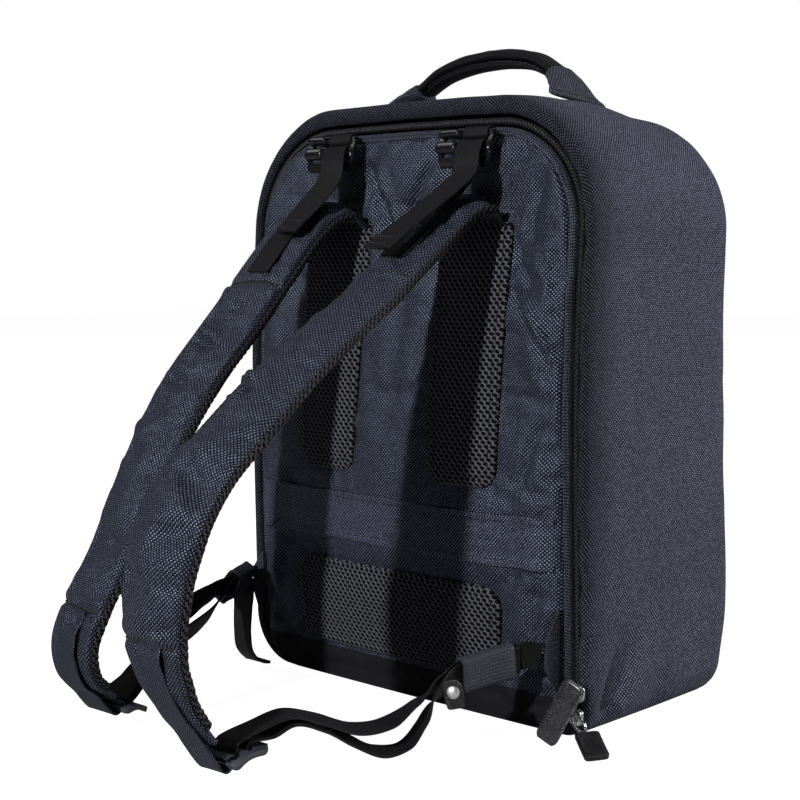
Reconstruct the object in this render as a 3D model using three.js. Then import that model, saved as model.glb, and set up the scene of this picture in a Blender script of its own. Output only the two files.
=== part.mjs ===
// Canvas backpack with a clamshell back panel, standing on its base, millimetres, +Z up.
// The harness side (back panel, straps) faces -Y and the bag's front faces +Y.
// The origin is the centre of the flat base. Each piece is one closed solid; sewn neighbours keep a small gap.
import * as THREE from "three";

// ---------------------------------------------------------------- driving sizes
const BAG = { halfWidth: 164, top: 427, crown: 4, depth: 200, topRadius: 84, baseRight: 22, baseLeft: 40, frontRadius: 46, wall: 3 };
const SLUMP = { x: 4, z: 240, front: 8 }; // the soft base settles to one side and to the front
const REAR_Y = -100; // plane of the rear rim at mid height
const TOP_LEAN = { reach: 8, z0: 230, z1: 430 }; // the upper part of the rear rim leans towards the front
const RIM = { side: 8, top: 13, base: 8 }; // how far the rim turns in
const ZIP = { side: 11.2, top: 18, base: 15, tape: 5 };
const PANEL = { side: 14.2, top: 23, base: 11, back: 6, front: -2, bulge: 12, bulgeZ: 150, bulgeSpan: 115, dip: 3, dipZ: 352, dipSpan: 55 };
const GAP = 0.4;
const CHANNEL = { x: 66, halfTop: 33, halfBase: 29, z0: 163, z1: 347, thick: 3 };
const LUMBAR = { half: 100, z0: 29, z1: 95, thick: 4 };
const BAND = { half: 143, z0: 112, z1: 147, thick: 1.6, stand: 1.2 };
const STRAP = { lining: 2.8, gap: 1, stations: 36 };
const WEB = { width: 25, thick: 1.4 };

// ---------------------------------------------------------------- colours
const paint = (hex, roughness, metalness = 0) => new THREE.MeshStandardMaterial({ color: hex, roughness, metalness });
const CANVAS = paint(0x23242e, 0.85);
const CANVAS_BACK = paint(0x22242f, 0.82);
const MESH = paint(0x121217, 0.9);
const WEBBING = paint(0x131318, 0.7);
const PLASTIC = paint(0x16161a, 0.35);
const LEATHER = paint(0x14151c, 0.5);
const ZIPPER = paint(0x101014, 0.6);
const NICKEL = paint(0xc8c8c8, 0.2, 1);

const part = new THREE.Group();
const V = (x, y, z) => new THREE.Vector3(x, y, z);
const smooth = (a, b, x) => THREE.MathUtils.smoothstep(x, a, b);

function add(name, geometry, material, parent = part) {
  const mesh = new THREE.Mesh(geometry, material);
  mesh.name = name;
  parent.add(mesh);
  return mesh;
}

// ---------------------------------------------------------------- mesh helpers
// A closed solid skinned over rings of equal count. Each end is capped by a fan round its middle, or for a thin curved
// section by a ladder of facets between its two long faces.
function skin(rings, ladder = false) {
  const n = rings[0].length, pos = [], index = [];
  rings.forEach((r) => r.forEach((p) => pos.push(p.x, p.y, p.z)));
  for (let i = 0; i + 1 < rings.length; i++)
    for (let j = 0; j < n; j++) {
      const a = i * n + j, b = i * n + ((j + 1) % n), c = a + n, d = b + n;
      index.push(a, b, d, a, d, c);
    }
  const cap = (ring, base, flip) => {
    if (ladder) {
      for (let j = 0; j + 1 < n / 2; j++) {
        const a = base + j, b = a + 1, c = base + n - 2 - j, d = c + 1;
        flip ? index.push(a, c, b, a, d, c) : index.push(a, b, c, a, c, d);
      }
      return;
    }
    const c = ring.reduce((s, p) => s.add(p), V(0, 0, 0)).divideScalar(n), at = pos.length / 3;
    pos.push(c.x, c.y, c.z);
    for (let j = 0; j < n; j++) {
      const a = base + j, b = base + ((j + 1) % n);
      flip ? index.push(at, b, a) : index.push(at, a, b);
    }
  };
  cap(rings[0], 0, true);
  cap(rings.at(-1), (rings.length - 1) * n, false);
  const g = new THREE.BufferGeometry();
  g.setAttribute("position", new THREE.Float32BufferAttribute(pos, 3));
  g.setIndex(index);
  return faceOut(g);
}

function faceOut(g) {
  const p = g.attributes.position, ix = g.index.array, a = V(), b = V(), c = V();
  let volume = 0;
  for (let i = 0; i < ix.length; i += 3) {
    a.fromBufferAttribute(p, ix[i]);
    b.fromBufferAttribute(p, ix[i + 1]);
    c.fromBufferAttribute(p, ix[i + 2]);
    volume += a.dot(b.cross(c));
  }
  if (volume < 0) for (let i = 0; i < ix.length; i += 3) [ix[i + 1], ix[i + 2]] = [ix[i + 2], ix[i + 1]];
  return g;
}

// Stations along a smooth curve through the rows of a table. A row has x, y, z and may have w (width), t (thickness),
// wide (heading of the width direction, degrees from +X) and tip (how far that direction tips up, degrees).
// across is the width direction and out is the direction of the outer face.
// They are evenly spaced when a count is given, or a few to each interval of the table (steps).
function stations(rows, count, steps = 0) {
  const curve = new THREE.CatmullRomCurve3(rows.map((r) => V(r.x, r.y, r.z)), false, "centripetal");
  curve.arcLengthDivisions = 600;
  const last = rows.length - 1, total = steps ? last * steps : count, list = [];
  for (let i = 0; i <= total; i++) {
    const t = steps ? i / total : curve.getUtoTmapping(i / total), k = Math.min(Math.floor(t * last), last - 1), f = t * last - k;
    const mix = (key, def) => THREE.MathUtils.lerp(rows[k][key] ?? def, rows[k + 1][key] ?? def, f * f * (3 - 2 * f));
    const at = curve.getPoint(t), along = curve.getTangent(t).normalize();
    const wide = THREE.MathUtils.degToRad(mix("wide", 0)), tip = THREE.MathUtils.degToRad(mix("tip", 0));
    const across = V(Math.cos(tip) * Math.cos(wide), Math.cos(tip) * Math.sin(wide), Math.sin(tip));
    across.addScaledVector(along, -across.dot(along)).normalize();
    list.push({ at, along, across, out: along.clone().cross(across).normalize(), w: mix("w", WEB.width), t: mix("t", WEB.thick) });
  }
  return list;
}
const place = (s, a, o) => s.at.clone().addScaledVector(s.across, a).addScaledVector(s.out, o);
const ribbon = (list, lift = 0) =>
  skin(list.map((s) => [[-1, -1], [1, -1], [1, 1], [-1, 1]].map(([a, o]) => place(s, (a * s.w) / 2, lift + (o * s.t) / 2))));
// A padded strip: flat faces with full round-ish edges, between two heights along out.
// turn -1 goes round the section the other way, so that two strips laid face to face share their facets.
// thin leaves out the points that round the edges.
const padded = (list, low, high, { turn = 1, thin = false } = {}) =>
  skin(
    list.map((s) => {
      const lo = low(s), hi = high(s), h = hi - lo, e = Math.min(h * 0.55, s.w * 0.2), a = s.w / 2;
      const eased = (k) => (thin ? [] : [[k * (a - e * 0.25), lo + h * (k > 0 ? 0.2 : 0.8)]]), turned = (k) => (thin ? [] : [[k * (a - e * 0.25), lo + h * (k > 0 ? 0.8 : 0.2)]]);
      return [[-a + e, lo], [0, lo], [a - e, lo], ...eased(1), [a, lo + h * 0.5], ...turned(1), [a - e, hi], [0, hi + h * 0.02], [-a + e, hi], ...eased(-1), [-a, lo + h * 0.5], ...turned(-1)].map(([p, q]) =>
        place(s, p * turn, q),
      );
    }),
  );

// ---------------------------------------------------------------- bag outline
// Rounded outline seen from the harness side: insets from the sides, the top and the base.
function outline({ side = 0, top = 0, base = 0 }) {
  const w = BAG.halfWidth - side, zt = BAG.top - top, zb = base;
  const rt = Math.max(10, BAG.topRadius - (side + top) / 2);
  const rr = Math.max(8, BAG.baseRight - (side + base) / 2), rl = Math.max(8, BAG.baseLeft - (side + base) / 2);
  const pts = [], arc = (cx, cz, r, from, steps) => {
    for (let i = 0; i <= steps; i++) {
      const a = THREE.MathUtils.degToRad(from + (90 * i) / steps);
      pts.push([cx + r * Math.cos(a), cz + r * Math.sin(a)]);
    }
  };
  const run = (x0, z0, x1, z1, steps) => {
    for (let i = 1; i < steps; i++) pts.push([x0 + ((x1 - x0) * i) / steps, z0 + ((z1 - z0) * i) / steps]);
  };
  arc(w - rr, zb + rr, rr, 270, 6);
  run(w, zb + rr, w, zt - rt, 8);
  arc(w - rt, zt - rt, rt, 0, 8);
  run(w - rt, zt, rt - w, zt, 6);
  arc(rt - w, zt - rt, rt, 90, 8);
  run(-w, zt - rt, -w, zb + rl, 8);
  arc(rl - w, zb + rl, rl, 180, 6);
  run(rl - w, zb, w - rr, zb, 6);
  return pts.map(([x, z]) => {
    const rise = BAG.crown * (1 - (x / BAG.halfWidth) ** 2) * smooth(250, zt, z);
    return { x: x + settle(z), z: z + rise };
  });
}
const settle = (z) => SLUMP.x * (1 - smooth(0, SLUMP.z, z));
const lean = (z, y) => TOP_LEAN.reach * smooth(TOP_LEAN.z0, TOP_LEAN.z1, z) * (1 - y / BAG.depth) - SLUMP.front * (z / BAG.top - 0.5) * (y / BAG.depth) ** 2;
const ringAt = (inset, y) => outline(inset).map(({ x, z }) => V(x, REAR_Y + y + lean(z, Math.max(0, y)), z));
const even = (d) => ({ side: d, top: d, base: d });
const nose = (d) => ({ side: d, top: d + 7, base: d * 0.55 }); // the front edge: fuller at the base, dropped at the top

// Outer form of the bag from the rear rim to the front face; y is measured from the rear rim.
const OUTER = [
  { inset: RIM, y: 0.6 },
  { inset: { side: 4, top: 6.5, base: 4 }, y: -1.2 },
  { inset: { side: 0.9, top: 1.2, base: 0.6 }, y: 0.8 },
  { inset: even(0), y: 6 },
  { inset: { side: -1, top: 0, base: 0 }, y: 80 },
  { inset: nose(0), y: BAG.depth - BAG.frontRadius },
  ...[30, 55, 75, 90].map((deg) => {
    const a = THREE.MathUtils.degToRad(deg), r = BAG.frontRadius;
    return { inset: nose(r * (1 - Math.cos(a))), y: BAG.depth - r + r * Math.sin(a) };
  }),
  { inset: even(95), y: BAG.depth + 2 },
];
const W = BAG.wall;
const lined = ({ side, top, base }) => ({ side: side + W, top: top + W, base: base + W });
const INNER = [
  { inset: even(95), y: BAG.depth + 2 - W },
  ...[90, 75, 55, 30].map((deg) => {
    const a = THREE.MathUtils.degToRad(deg), r = BAG.frontRadius - W;
    return { inset: lined(nose(r * (1 - Math.cos(a)))), y: BAG.depth - BAG.frontRadius + r * Math.sin(a) };
  }),
  { inset: lined(nose(0)), y: BAG.depth - BAG.frontRadius },
  { inset: { side: W - 1, top: W, base: W }, y: 80 },
  { inset: even(W), y: 9 },
  { inset: { side: W + 1, top: W + 1, base: W + 1 }, y: 5 },
  { inset: RIM, y: 3.4 },
];
add("main_shell", skin([...INNER, ...OUTER].map((r) => ringAt(r.inset, r.y))), CANVAS);

// ---------------------------------------------------------------- zip round three sides of the panel
{
  const path = outline(ZIP);
  const from = 5, to = path.length - 11; // from the lower right corner over the top to the lower left corner
  const rings = [];
  for (let i = from; i <= to; i++) {
    const p = path[i], a = path[i - 1], b = path[i + 1];
    const n = V(b.z - a.z, 0, -(b.x - a.x)).normalize(); // outwards in the plane of the rim
    const h = ZIP.tape / 2;
    rings.push(
      [[-h, 3.2], [h, 3.2], [h, 2.0], [1.3, 2.0], [1.0, 0.7], [-1.0, 0.7], [-1.3, 2.0], [-h, 2.0]].map(([q, y]) => V(p.x + n.x * q, REAR_Y + y + lean(p.z, 0), p.z + n.z * q)),
    );
  }
  add("zip_tape", skin(rings), ZIPPER);
}

// ---------------------------------------------------------------- back panel and what is sewn on it
// Outer face of the panel: it bulges at the lumbar and dips a little where the straps pull.
function panelFace(x, z) {
  const edge = 1 - Math.min(1, Math.abs(x) / 150) ** 2.2;
  const bulge = PANEL.bulge * Math.exp(-(((z - PANEL.bulgeZ) / PANEL.bulgeSpan) ** 2)) - PANEL.dip * Math.exp(-(((z - PANEL.dipZ) / PANEL.dipSpan) ** 2));
  return REAR_Y + lean(z, 0) + PANEL.front - bulge * edge;
}
// A padded slab made of rows across the panel. Each row has z and its ends x0, x1; the rim of the slab is thinned.
function slab(rows, columns, front, back, rim) {
  const n = rows.length;
  return skin(
    rows.map(({ z, x0, x1 }, r) => {
      const us = [...Array(columns + 1).keys()].map((i) => i / columns);
      const frontPts = us.map((u) => {
        const x = x0 + (x1 - x0) * u, d = Math.min(x - x0, x1 - x, z - rows[0].z, rows[n - 1].z - z);
        const k = 0.45 + 0.55 * Math.sqrt(THREE.MathUtils.clamp(d / rim, 0, 1));
        return V(x, back(x, z) + (front(x, z) - back(x, z)) * k, z);
      });
      const backPts = us.map((u) => V(x0 + (x1 - x0) * u, back(x0 + (x1 - x0) * u, z), z)).reverse();
      return [...frontPts, ...backPts];
    }),
    true,
  );
}
// Rows of a rounded outline: half widths at the two ends, corner radii, and stations in z.
function rowsOf({ z0, z1, half0, half1, r0, r1, cx = 0, steps = 14, arc = 3 }) {
  const zs = new Set();
  for (let i = 0; i <= arc; i++) {
    zs.add(+(z0 + r0 * (1 - Math.cos((i * Math.PI) / (2 * arc)))).toFixed(3));
    zs.add(+(z1 - r1 * (1 - Math.cos((i * Math.PI) / (2 * arc)))).toFixed(3));
  }
  for (let i = 1; i < steps; i++) zs.add(+(z0 + r0 + ((z1 - r1 - z0 - r0) * i) / steps).toFixed(3));
  return [...zs].sort((a, b) => a - b).map((z) => {
    const half = half0 + ((half1 - half0) * (z - z0)) / (z1 - z0);
    const d0 = Math.max(0, z0 + r0 - z), d1 = Math.max(0, z - (z1 - r1));
    const cut = r0 - Math.sqrt(Math.max(0, r0 * r0 - d0 * d0)) + (r1 - Math.sqrt(Math.max(0, r1 * r1 - d1 * d1)));
    return { z, x0: cx - half + cut, x1: cx + half - cut };
  });
}
// Ends of the panel's row at a height, taken from its outline.
function spanAt(poly, z) {
  const xs = [];
  poly.forEach((p, i) => {
    const q = poly[(i + 1) % poly.length];
    if (p.z !== q.z && (p.z - z) * (q.z - z) <= 0) xs.push(p.x + ((q.x - p.x) * (z - p.z)) / (q.z - p.z));
  });
  return { x0: Math.min(...xs), x1: Math.max(...xs) };
}
{
  const poly = outline(PANEL), z0 = PANEL.base + 0.05, z1 = Math.max(...poly.map((p) => p.z)) - 4.5;
  const zs = [0, 3, 8, 15, 25];
  const rows = [...zs.map((d) => z0 + d), ...[...Array(13).keys()].map((i) => z0 + 25 + ((z1 - z0 - 65) * (i + 1)) / 13), ...[26, 15, 8, 3, 0].map((d) => z1 - d)].map((z) => ({ z, ...spanAt(poly, z) }));
  add("back_panel", slab(rows, 12, panelFace, (x, z) => REAR_Y + PANEL.back + lean(z, 0), 7), CANVAS_BACK);
}
const onPanel = (stand, thick) => [(x, z) => panelFace(x, z) - stand - thick, (x, z) => panelFace(x, z) - stand];
for (const [name, cx] of [["mesh_channel_left", -CHANNEL.x], ["mesh_channel_right", CHANNEL.x]]) {
  const rows = rowsOf({ z0: CHANNEL.z0, z1: CHANNEL.z1, half0: CHANNEL.halfBase, half1: CHANNEL.halfTop, r0: 13, r1: 10, cx, steps: 8 });
  const [front, back] = onPanel(GAP, CHANNEL.thick);
  add(name, slab(rows, 4, front, back, 5), MESH);
}
{
  const rows = rowsOf({ z0: LUMBAR.z0, z1: LUMBAR.z1, half0: LUMBAR.half - 4, half1: LUMBAR.half, r0: 12, r1: 16, steps: 4 });
  const [front, back] = onPanel(GAP, LUMBAR.thick);
  add("lumbar_pad", slab(rows, 8, front, back, 6), MESH);
}
{
  const rows = rowsOf({ z0: BAND.z0, z1: BAND.z1, half0: BAND.half, half1: BAND.half, r0: 2, r1: 2, steps: 2, arc: 1 });
  const [front, back] = onPanel(BAND.stand, BAND.thick);
  add("luggage_band", slab(rows, 16, front, back, 2), CANVAS_BACK);
}

// ---------------------------------------------------------------- shoulder straps
// One row for each section of the strap's middle line: place, width, thickness and heading of the width.
const STRAP_ROWS = {
  right: [
    { x: 66, y: -98, z: 352, w: 60, t: 8 },
    { x: 66, y: -112, z: 353.5, w: 56, t: 10, tip: 2 },
    { x: 66, y: -128, z: 349.5, w: 52, t: 11, tip: 3 },
    { x: 66, y: -146, z: 337.5, w: 50, t: 12, tip: 3 },
    { x: 66, y: -166, z: 323, w: 50, t: 12, tip: 3 },
    { x: 66, y: -206, z: 295.5, w: 51, t: 12, tip: 2 },
    { x: 66, y: -272, z: 255, w: 55, t: 12 },
    { x: 66, y: -322, z: 216.5, w: 58, t: 12 },
    { x: 62.5, y: -350, z: 191, w: 63, t: 12 },
    { x: 61.5, y: -367, z: 162, w: 64, t: 12, wide: -3 },
    { x: 59.5, y: -374, z: 132, w: 59, t: 12, wide: -3 },
    { x: 58.5, y: -374.5, z: 104, w: 50, t: 11, wide: 0 },
    { x: 59, y: -369, z: 80, w: 41, t: 10, wide: 3 },
    { x: 60.5, y: -357, z: 56, w: 32, t: 9, wide: 4 },
    { x: 63, y: -341, z: 36, w: 26, t: 7.5, wide: 4 },
  ],
  left: [
    { x: -66, y: -98, z: 352, w: 60, t: 8 },
    { x: -66, y: -112, z: 353, w: 56, t: 10, tip: -2 },
    { x: -66, y: -128, z: 348, w: 52, t: 11, tip: -3 },
    { x: -66, y: -148, z: 333, w: 51, t: 12, tip: -3 },
    { x: -66, y: -170, z: 311, w: 52, t: 12, tip: -3 },
    { x: -66, y: -207, z: 272, w: 54, t: 12, tip: -2 },
    { x: -67, y: -238, z: 240, w: 57, t: 12, wide: -3 },
    { x: -68, y: -263, z: 207, w: 60, t: 12, wide: -8 },
    { x: -70, y: -288, z: 164, w: 62, t: 12, wide: -13 },
    { x: -72, y: -308, z: 124, w: 60, t: 12, wide: -15 },
    { x: -74, y: -325, z: 94, w: 54, t: 11, wide: -12 },
    { x: -77, y: -334, z: 68, w: 46, t: 10, wide: -5 },
    { x: -81, y: -328, z: 45, w: 38, t: 9, wide: 4 },
    { x: -85, y: -309, z: 29, w: 31, t: 7.5, wide: 12 },
  ],
};
const straps = {};
for (const side of ["left", "right"]) {
  const list = stations(STRAP_ROWS[side], STRAP.stations);
  straps[side] = list;
  add(`strap_pad_${side}`, padded(list, (s) => -s.t / 2 + STRAP.lining + STRAP.gap, (s) => s.t / 2), CANVAS);
  const lining = list.slice(1, -1).map((s) => ({ ...s, w: s.w - 3 }));
  add(`strap_mesh_${side}`, padded(lining, (s) => -s.t / 2, (s) => -s.t / 2 + STRAP.lining, { turn: -1, thin: true }), MESH);
}

// ---------------------------------------------------------------- buckles: a waved plate with two slots
// A buckle lies along its length from the fixed bar to the tongue; its frame has along, across and out.
const LOCK = { half: 18.5, length: 33, thick: 3.4, slotHalf: 13.2, slot: 6.4, bar: 4.4, wave: 2.2, nose: 7 };
const LIFT = { half: 23, length: 25, thick: 3, slotHalf: 19.6, slot: 5.2, bar: 4, wave: 0.8, nose: 3, aside: 8 }; // aside: the webbing keeps to one end of the bars
const wave = (b, l) => b.wave * Math.sin((THREE.MathUtils.clamp(l, 0, b.length) / b.length) * Math.PI * 1.5);
function buckleGeometry(b) {
  const shape = new THREE.Shape(), a = b.half, c = 2.5;
  shape.moveTo(-a + c, 0).lineTo(a - c, 0).lineTo(a, c).lineTo(a, b.length / 3).lineTo(a, (b.length * 2) / 3).lineTo(a - b.nose, b.length).lineTo(-a + b.nose, b.length);
  shape.lineTo(-a, (b.length * 2) / 3).lineTo(-a, b.length / 3).lineTo(-a, c).closePath();
  for (const y of [b.bar, b.bar * 2 + b.slot]) {
    const h = b.slotHalf;
    shape.holes.push(new THREE.Path().moveTo(-h, y).lineTo(-h, y + b.slot).lineTo(h, y + b.slot).lineTo(h, y).closePath());
  }
  const g = new THREE.ExtrudeGeometry(shape, { depth: b.thick, bevelEnabled: false }), p = g.attributes.position;
  for (let i = 0; i < p.count; i++) p.setZ(i, p.getZ(i) - b.thick / 2 + wave(b, p.getY(i)));
  return g;
}
// Places of the buckles: middle of the fixed bar, heading of the width, dip of the length and tip of the width;
// ribbon is the heading of the width of what runs through it, where it differs.
const BUCKLES = {
  ladder_lock_right: { b: LOCK, x: 64.5, y: -334, z: 20, wide: 3, dip: -12, tip: 0 },
  ladder_lock_left: { b: LOCK, x: -88, y: -302, z: 17.5, wide: 18, dip: 10, tip: -8 },
  lifter_buckle_right: { b: LIFT, x: 66, y: -104, z: 405, wide: 180, dip: 70, tip: 0, ribbon: 0 },
  lifter_buckle_left: { b: LIFT, x: -64, y: -104, z: 406, wide: 180, dip: 70, tip: 0, ribbon: 0 },
};
function frameOf({ x, y, z, wide, dip, tip }) {
  const w = THREE.MathUtils.degToRad(wide), d = THREE.MathUtils.degToRad(dip), t = THREE.MathUtils.degToRad(tip);
  const across = V(Math.cos(w) * Math.cos(t), Math.sin(w) * Math.cos(t), Math.sin(t));
  const along = V(-Math.sin(w) * Math.cos(d), Math.cos(w) * Math.cos(d), -Math.sin(d));
  along.addScaledVector(across, -along.dot(across)).normalize();
  return { at: V(x, y, z), along, across, out: across.clone().cross(along) };
}
for (const [name, spec] of Object.entries(BUCKLES)) {
  const f = frameOf(spec), holder = new THREE.Group();
  holder.applyMatrix4(new THREE.Matrix4().makeBasis(f.across, f.along, f.out).setPosition(f.at));
  part.add(holder);
  add(name, buckleGeometry(spec.b), PLASTIC, holder);
}
// A point of a ribbon at a buckle: length along it, height over its waved middle surface, and offset across.
const atBuckle = (name, l, o, a = 0) => {
  const spec = BUCKLES[name], f = frameOf(spec);
  const v = f.at.clone().addScaledVector(f.along, l).addScaledVector(f.out, o + wave(spec.b, l)).addScaledVector(f.across, a);
  return { x: v.x, y: v.y, z: v.z, wide: spec.ribbon ?? spec.wide, tip: spec.tip };
};

// Webbing sewn down the outside of each strap's tail, under the lock's fixed bar and back over it.
for (const side of ["left", "right"]) {
  const lock = `ladder_lock_${side}`;
  const tail = straps[side].slice(30, 36).map((s) => {
    const v = place(s, 0, s.t / 2 + 1.9), heading = Math.atan2(s.across.y, s.across.x);
    return { x: v.x, y: v.y, z: v.z, wide: THREE.MathUtils.radToDeg(heading), tip: THREE.MathUtils.radToDeg(Math.asin(s.across.z)) };
  });
  const rows = [...tail, ...[[-1.5, -3.6], [3, -3.4], [6.2, -1.2], [6.6, 1.4], [4.4, 3.5], [0, 4]].map(([l, o]) => atBuckle(lock, l, o))];
  add(`strap_tail_webbing_${side}`, ribbon(stations(rows, 0, 2).map((s) => ({ ...s, w: 22, t: 1.2 }))), WEBBING);
}

// ---------------------------------------------------------------- adjuster webbing from the lower corners
// Each ribbon leaves its corner tab, runs to the lock, goes down the first slot, round the middle bar, up the second slot and back.
const ADJUSTER = {
  right: {
    run: [
      { x: 144, y: -122.4, z: 58, wide: -23, tip: 84 },
      { x: 139.5, y: -131, z: 60.5, wide: -23, tip: 74 },
      { x: 132, y: -138, z: 57.5, wide: -23, tip: 80 },
      { x: 118, y: -174, z: 51.5, wide: -23, tip: 78 },
      { x: 113, y: -189, z: 47.5, wide: -23, tip: 50 },
      { x: 107.5, y: -206, z: 37, wide: -23, tip: 14 },
      { x: 100.5, y: -223, z: 27, wide: -23, tip: -4 },
      { x: 92, y: -243, z: 26, wide: -24, tip: -8 },
      { x: 82, y: -265, z: 35, wide: -25, tip: -8 },
      { x: 73.5, y: -284, z: 41, wide: -18, tip: -4 },
      { x: 67.5, y: -303, z: 37, wide: -8 },
    ],
    back: [
      { x: 69, y: -297.5, z: 30.5, wide: -8 },
      { x: 75, y: -283, z: 36.5, wide: -18, tip: -4 },
      { x: 83, y: -265, z: 31, wide: -25, tip: -8 },
      { x: 91, y: -247, z: 19.5, wide: -24, tip: -12 },
      { x: 98, y: -229, z: 9.5, wide: -23, tip: -8 },
      { x: 105.5, y: -212, z: 11, wide: -23, tip: 4 },
      { x: 110.5, y: -201.5, z: 24, wide: -23, tip: 16 },
      { x: 115, y: -192, z: 41, wide: -23, tip: 50 },
      { x: 120.5, y: -175, z: 51, wide: -23, tip: 78 },
      { x: 134.5, y: -139, z: 56.8, wide: -23, tip: 80 },
      { x: 136.3, y: -135, z: 57.3, wide: -23, tip: 79 },
    ],
  },
  left: {
    run: [
      { x: -150, y: -114, z: 68, wide: 18, tip: 70 },
      { x: -145.5, y: -130, z: 71, wide: 18, tip: 58 },
      { x: -138, y: -152, z: 69.5, wide: 18, tip: 52 },
      { x: -130, y: -174, z: 67.5, wide: 18, tip: 66 },
      { x: -121, y: -200, z: 63.5, wide: 18, tip: 80 },
      { x: -111, y: -228, z: 56, wide: 18, tip: 64 },
      { x: -102, y: -254, z: 44, wide: 18, tip: 30 },
      { x: -95, y: -272, z: 32, wide: 18, tip: 4 },
    ],
    back: [
      { x: -98, y: -267, z: 27, wide: 18, tip: 4 },
      { x: -104, y: -250, z: 37, wide: 18, tip: 22 },
      { x: -110, y: -229, z: 43, wide: 18, tip: 50 },
      { x: -117, y: -202, z: 47, wide: 18, tip: 62 },
      { x: -126, y: -176, z: 54, wide: 18, tip: 58 },
      { x: -135.5, y: -152, z: 67, wide: 18, tip: 52 },
      { x: -141, y: -136.5, z: 68.4, wide: 18, tip: 55 },
      { x: -143.6, y: -130, z: 65.5, wide: 18, tip: 42 },
      { x: -144.3, y: -128, z: 57, wide: 10, tip: 12 },
      { x: -144.3, y: -128.6, z: 46, wide: 4, tip: 2 },
      { x: -143.5, y: -130, z: 28 },
      { x: -142, y: -129, z: 14 },
      { x: -141, y: -121, z: 5 },
      { x: -140, y: -112, z: 2.4 },
    ],
  },
};
const WEB_SLIM = { w: 20, t: 1.2 };
for (const side of ["left", "right"]) {
  const lock = `ladder_lock_${side}`, { run, back } = ADJUSTER[side];
  const wrap = [[11.6, 6.4], [9.2, 3.2], [8.8, 0], [9.2, -2.6], [11, -4], [13, -4.3], [15.4, -4], [17.2, -2.6], [17.6, 0], [18, 2.6], [20.4, 5]].map(([l, o]) => atBuckle(lock, l, o));
  straps[`adjuster_${side}`] = stations([...run, ...wrap, ...back], 0, 2);
  add(`adjuster_webbing_${side}`, ribbon(straps[`adjuster_${side}`].map((s) => ({ ...s, ...WEB_SLIM }))), WEBBING);
}

// A sleeve round a strip of rows: a closed tube of wall thickness, open at both ends.
function sleeve(list, halfW, low, high, wall) {
  const rect = (s, g) => [[-halfW - g, low - g], [halfW + g, low - g], [halfW + g, high + g], [-halfW - g, high + g]].map(([a, o]) => place(s, a, o));
  const rings = [...list.map((s) => rect(s, wall)), ...[...list].reverse().map((s) => rect(s, 0))];
  const n = 4, m = rings.length, pos = rings.flat().flatMap((p) => [p.x, p.y, p.z]), index = [];
  for (let i = 0; i < m; i++)
    for (let j = 0; j < n; j++) {
      const a = i * n + j, b = i * n + ((j + 1) % n), c = ((i + 1) % m) * n + j, d = ((i + 1) % m) * n + ((j + 1) % n);
      index.push(a, b, d, a, d, c);
    }
  const g = new THREE.BufferGeometry();
  g.setAttribute("position", new THREE.Float32BufferAttribute(pos, 3));
  g.setIndex(index);
  return faceOut(g);
}
add("keeper_right", sleeve(straps.adjuster_right.slice(4, 7), 11, -4.9, 1.7, 1.1), WEBBING);
add("keeper_left", sleeve(straps.adjuster_left.slice(2, 5), 13.4, -7.6, 2.5, 1.1), WEBBING);

// Flat plates: a corner outline given by points, thickened to both sides.
function plate(points, thick) {
  const a = points[0], b = points[1], c = points.at(-1);
  const n = b.clone().sub(a).cross(c.clone().sub(a)).normalize().multiplyScalar(thick / 2);
  return skin([points.map((p) => p.clone().sub(n)), points.map((p) => p.clone().add(n))]);
}
// Triangular tabs at the lower corners: the long edge is sewn to the panel's edge and the short edge holds the adjuster.
const CORNER_TAB = { z0: 27, z1: 91, thick: 1.6 };
for (const [side, sx, apexX, apexY, apexZ] of [["right", 148, 145.6, -119.6, 58], ["left", -143, -150.2, -112.4, 67]]) {
  const base = -107.4, m = (CORNER_TAB.z0 + CORNER_TAB.z1) / 2;
  add(`corner_tab_${side}`, plate([V(sx, base, CORNER_TAB.z0), V(apexX, apexY, apexZ - 9), V(apexX, apexY, apexZ + 9), V(sx, base, CORNER_TAB.z1), V(sx, base + 0.02, m)], CORNER_TAB.thick), WEBBING);
}
{
  // a small tab with a metal rivet hangs at the end of the right keeper
  const s = straps.adjuster_right[7];
  const c = V(s.at.x + 14, s.at.y - 10.5, s.at.z - 4.6), across = V(0.84, 0.54, 0), up = V(-0.2, -0.1, 0.97).normalize();
  across.addScaledVector(up, -across.dot(up)).normalize();
  const out = across.clone().cross(up).normalize(), at = (a, u, o = 0) => c.clone().addScaledVector(across, a).addScaledVector(up, u).addScaledVector(out, o);
  add("keeper_tab_right", plate([at(-6, -10), at(6, -10), at(6.5, 5), at(4, 9), at(-4, 9), at(-6.5, 5)], 1.8), LEATHER);
  const ring = (r, o) => [...Array(14).keys()].map((i) => at(r * Math.cos((i * Math.PI) / 7), 1 + r * Math.sin((i * Math.PI) / 7), o));
  add("rivet_right", skin([ring(4.2, 1.3), ring(4.2, 1.9), ring(3, 2.7)]), NICKEL);
}

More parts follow.
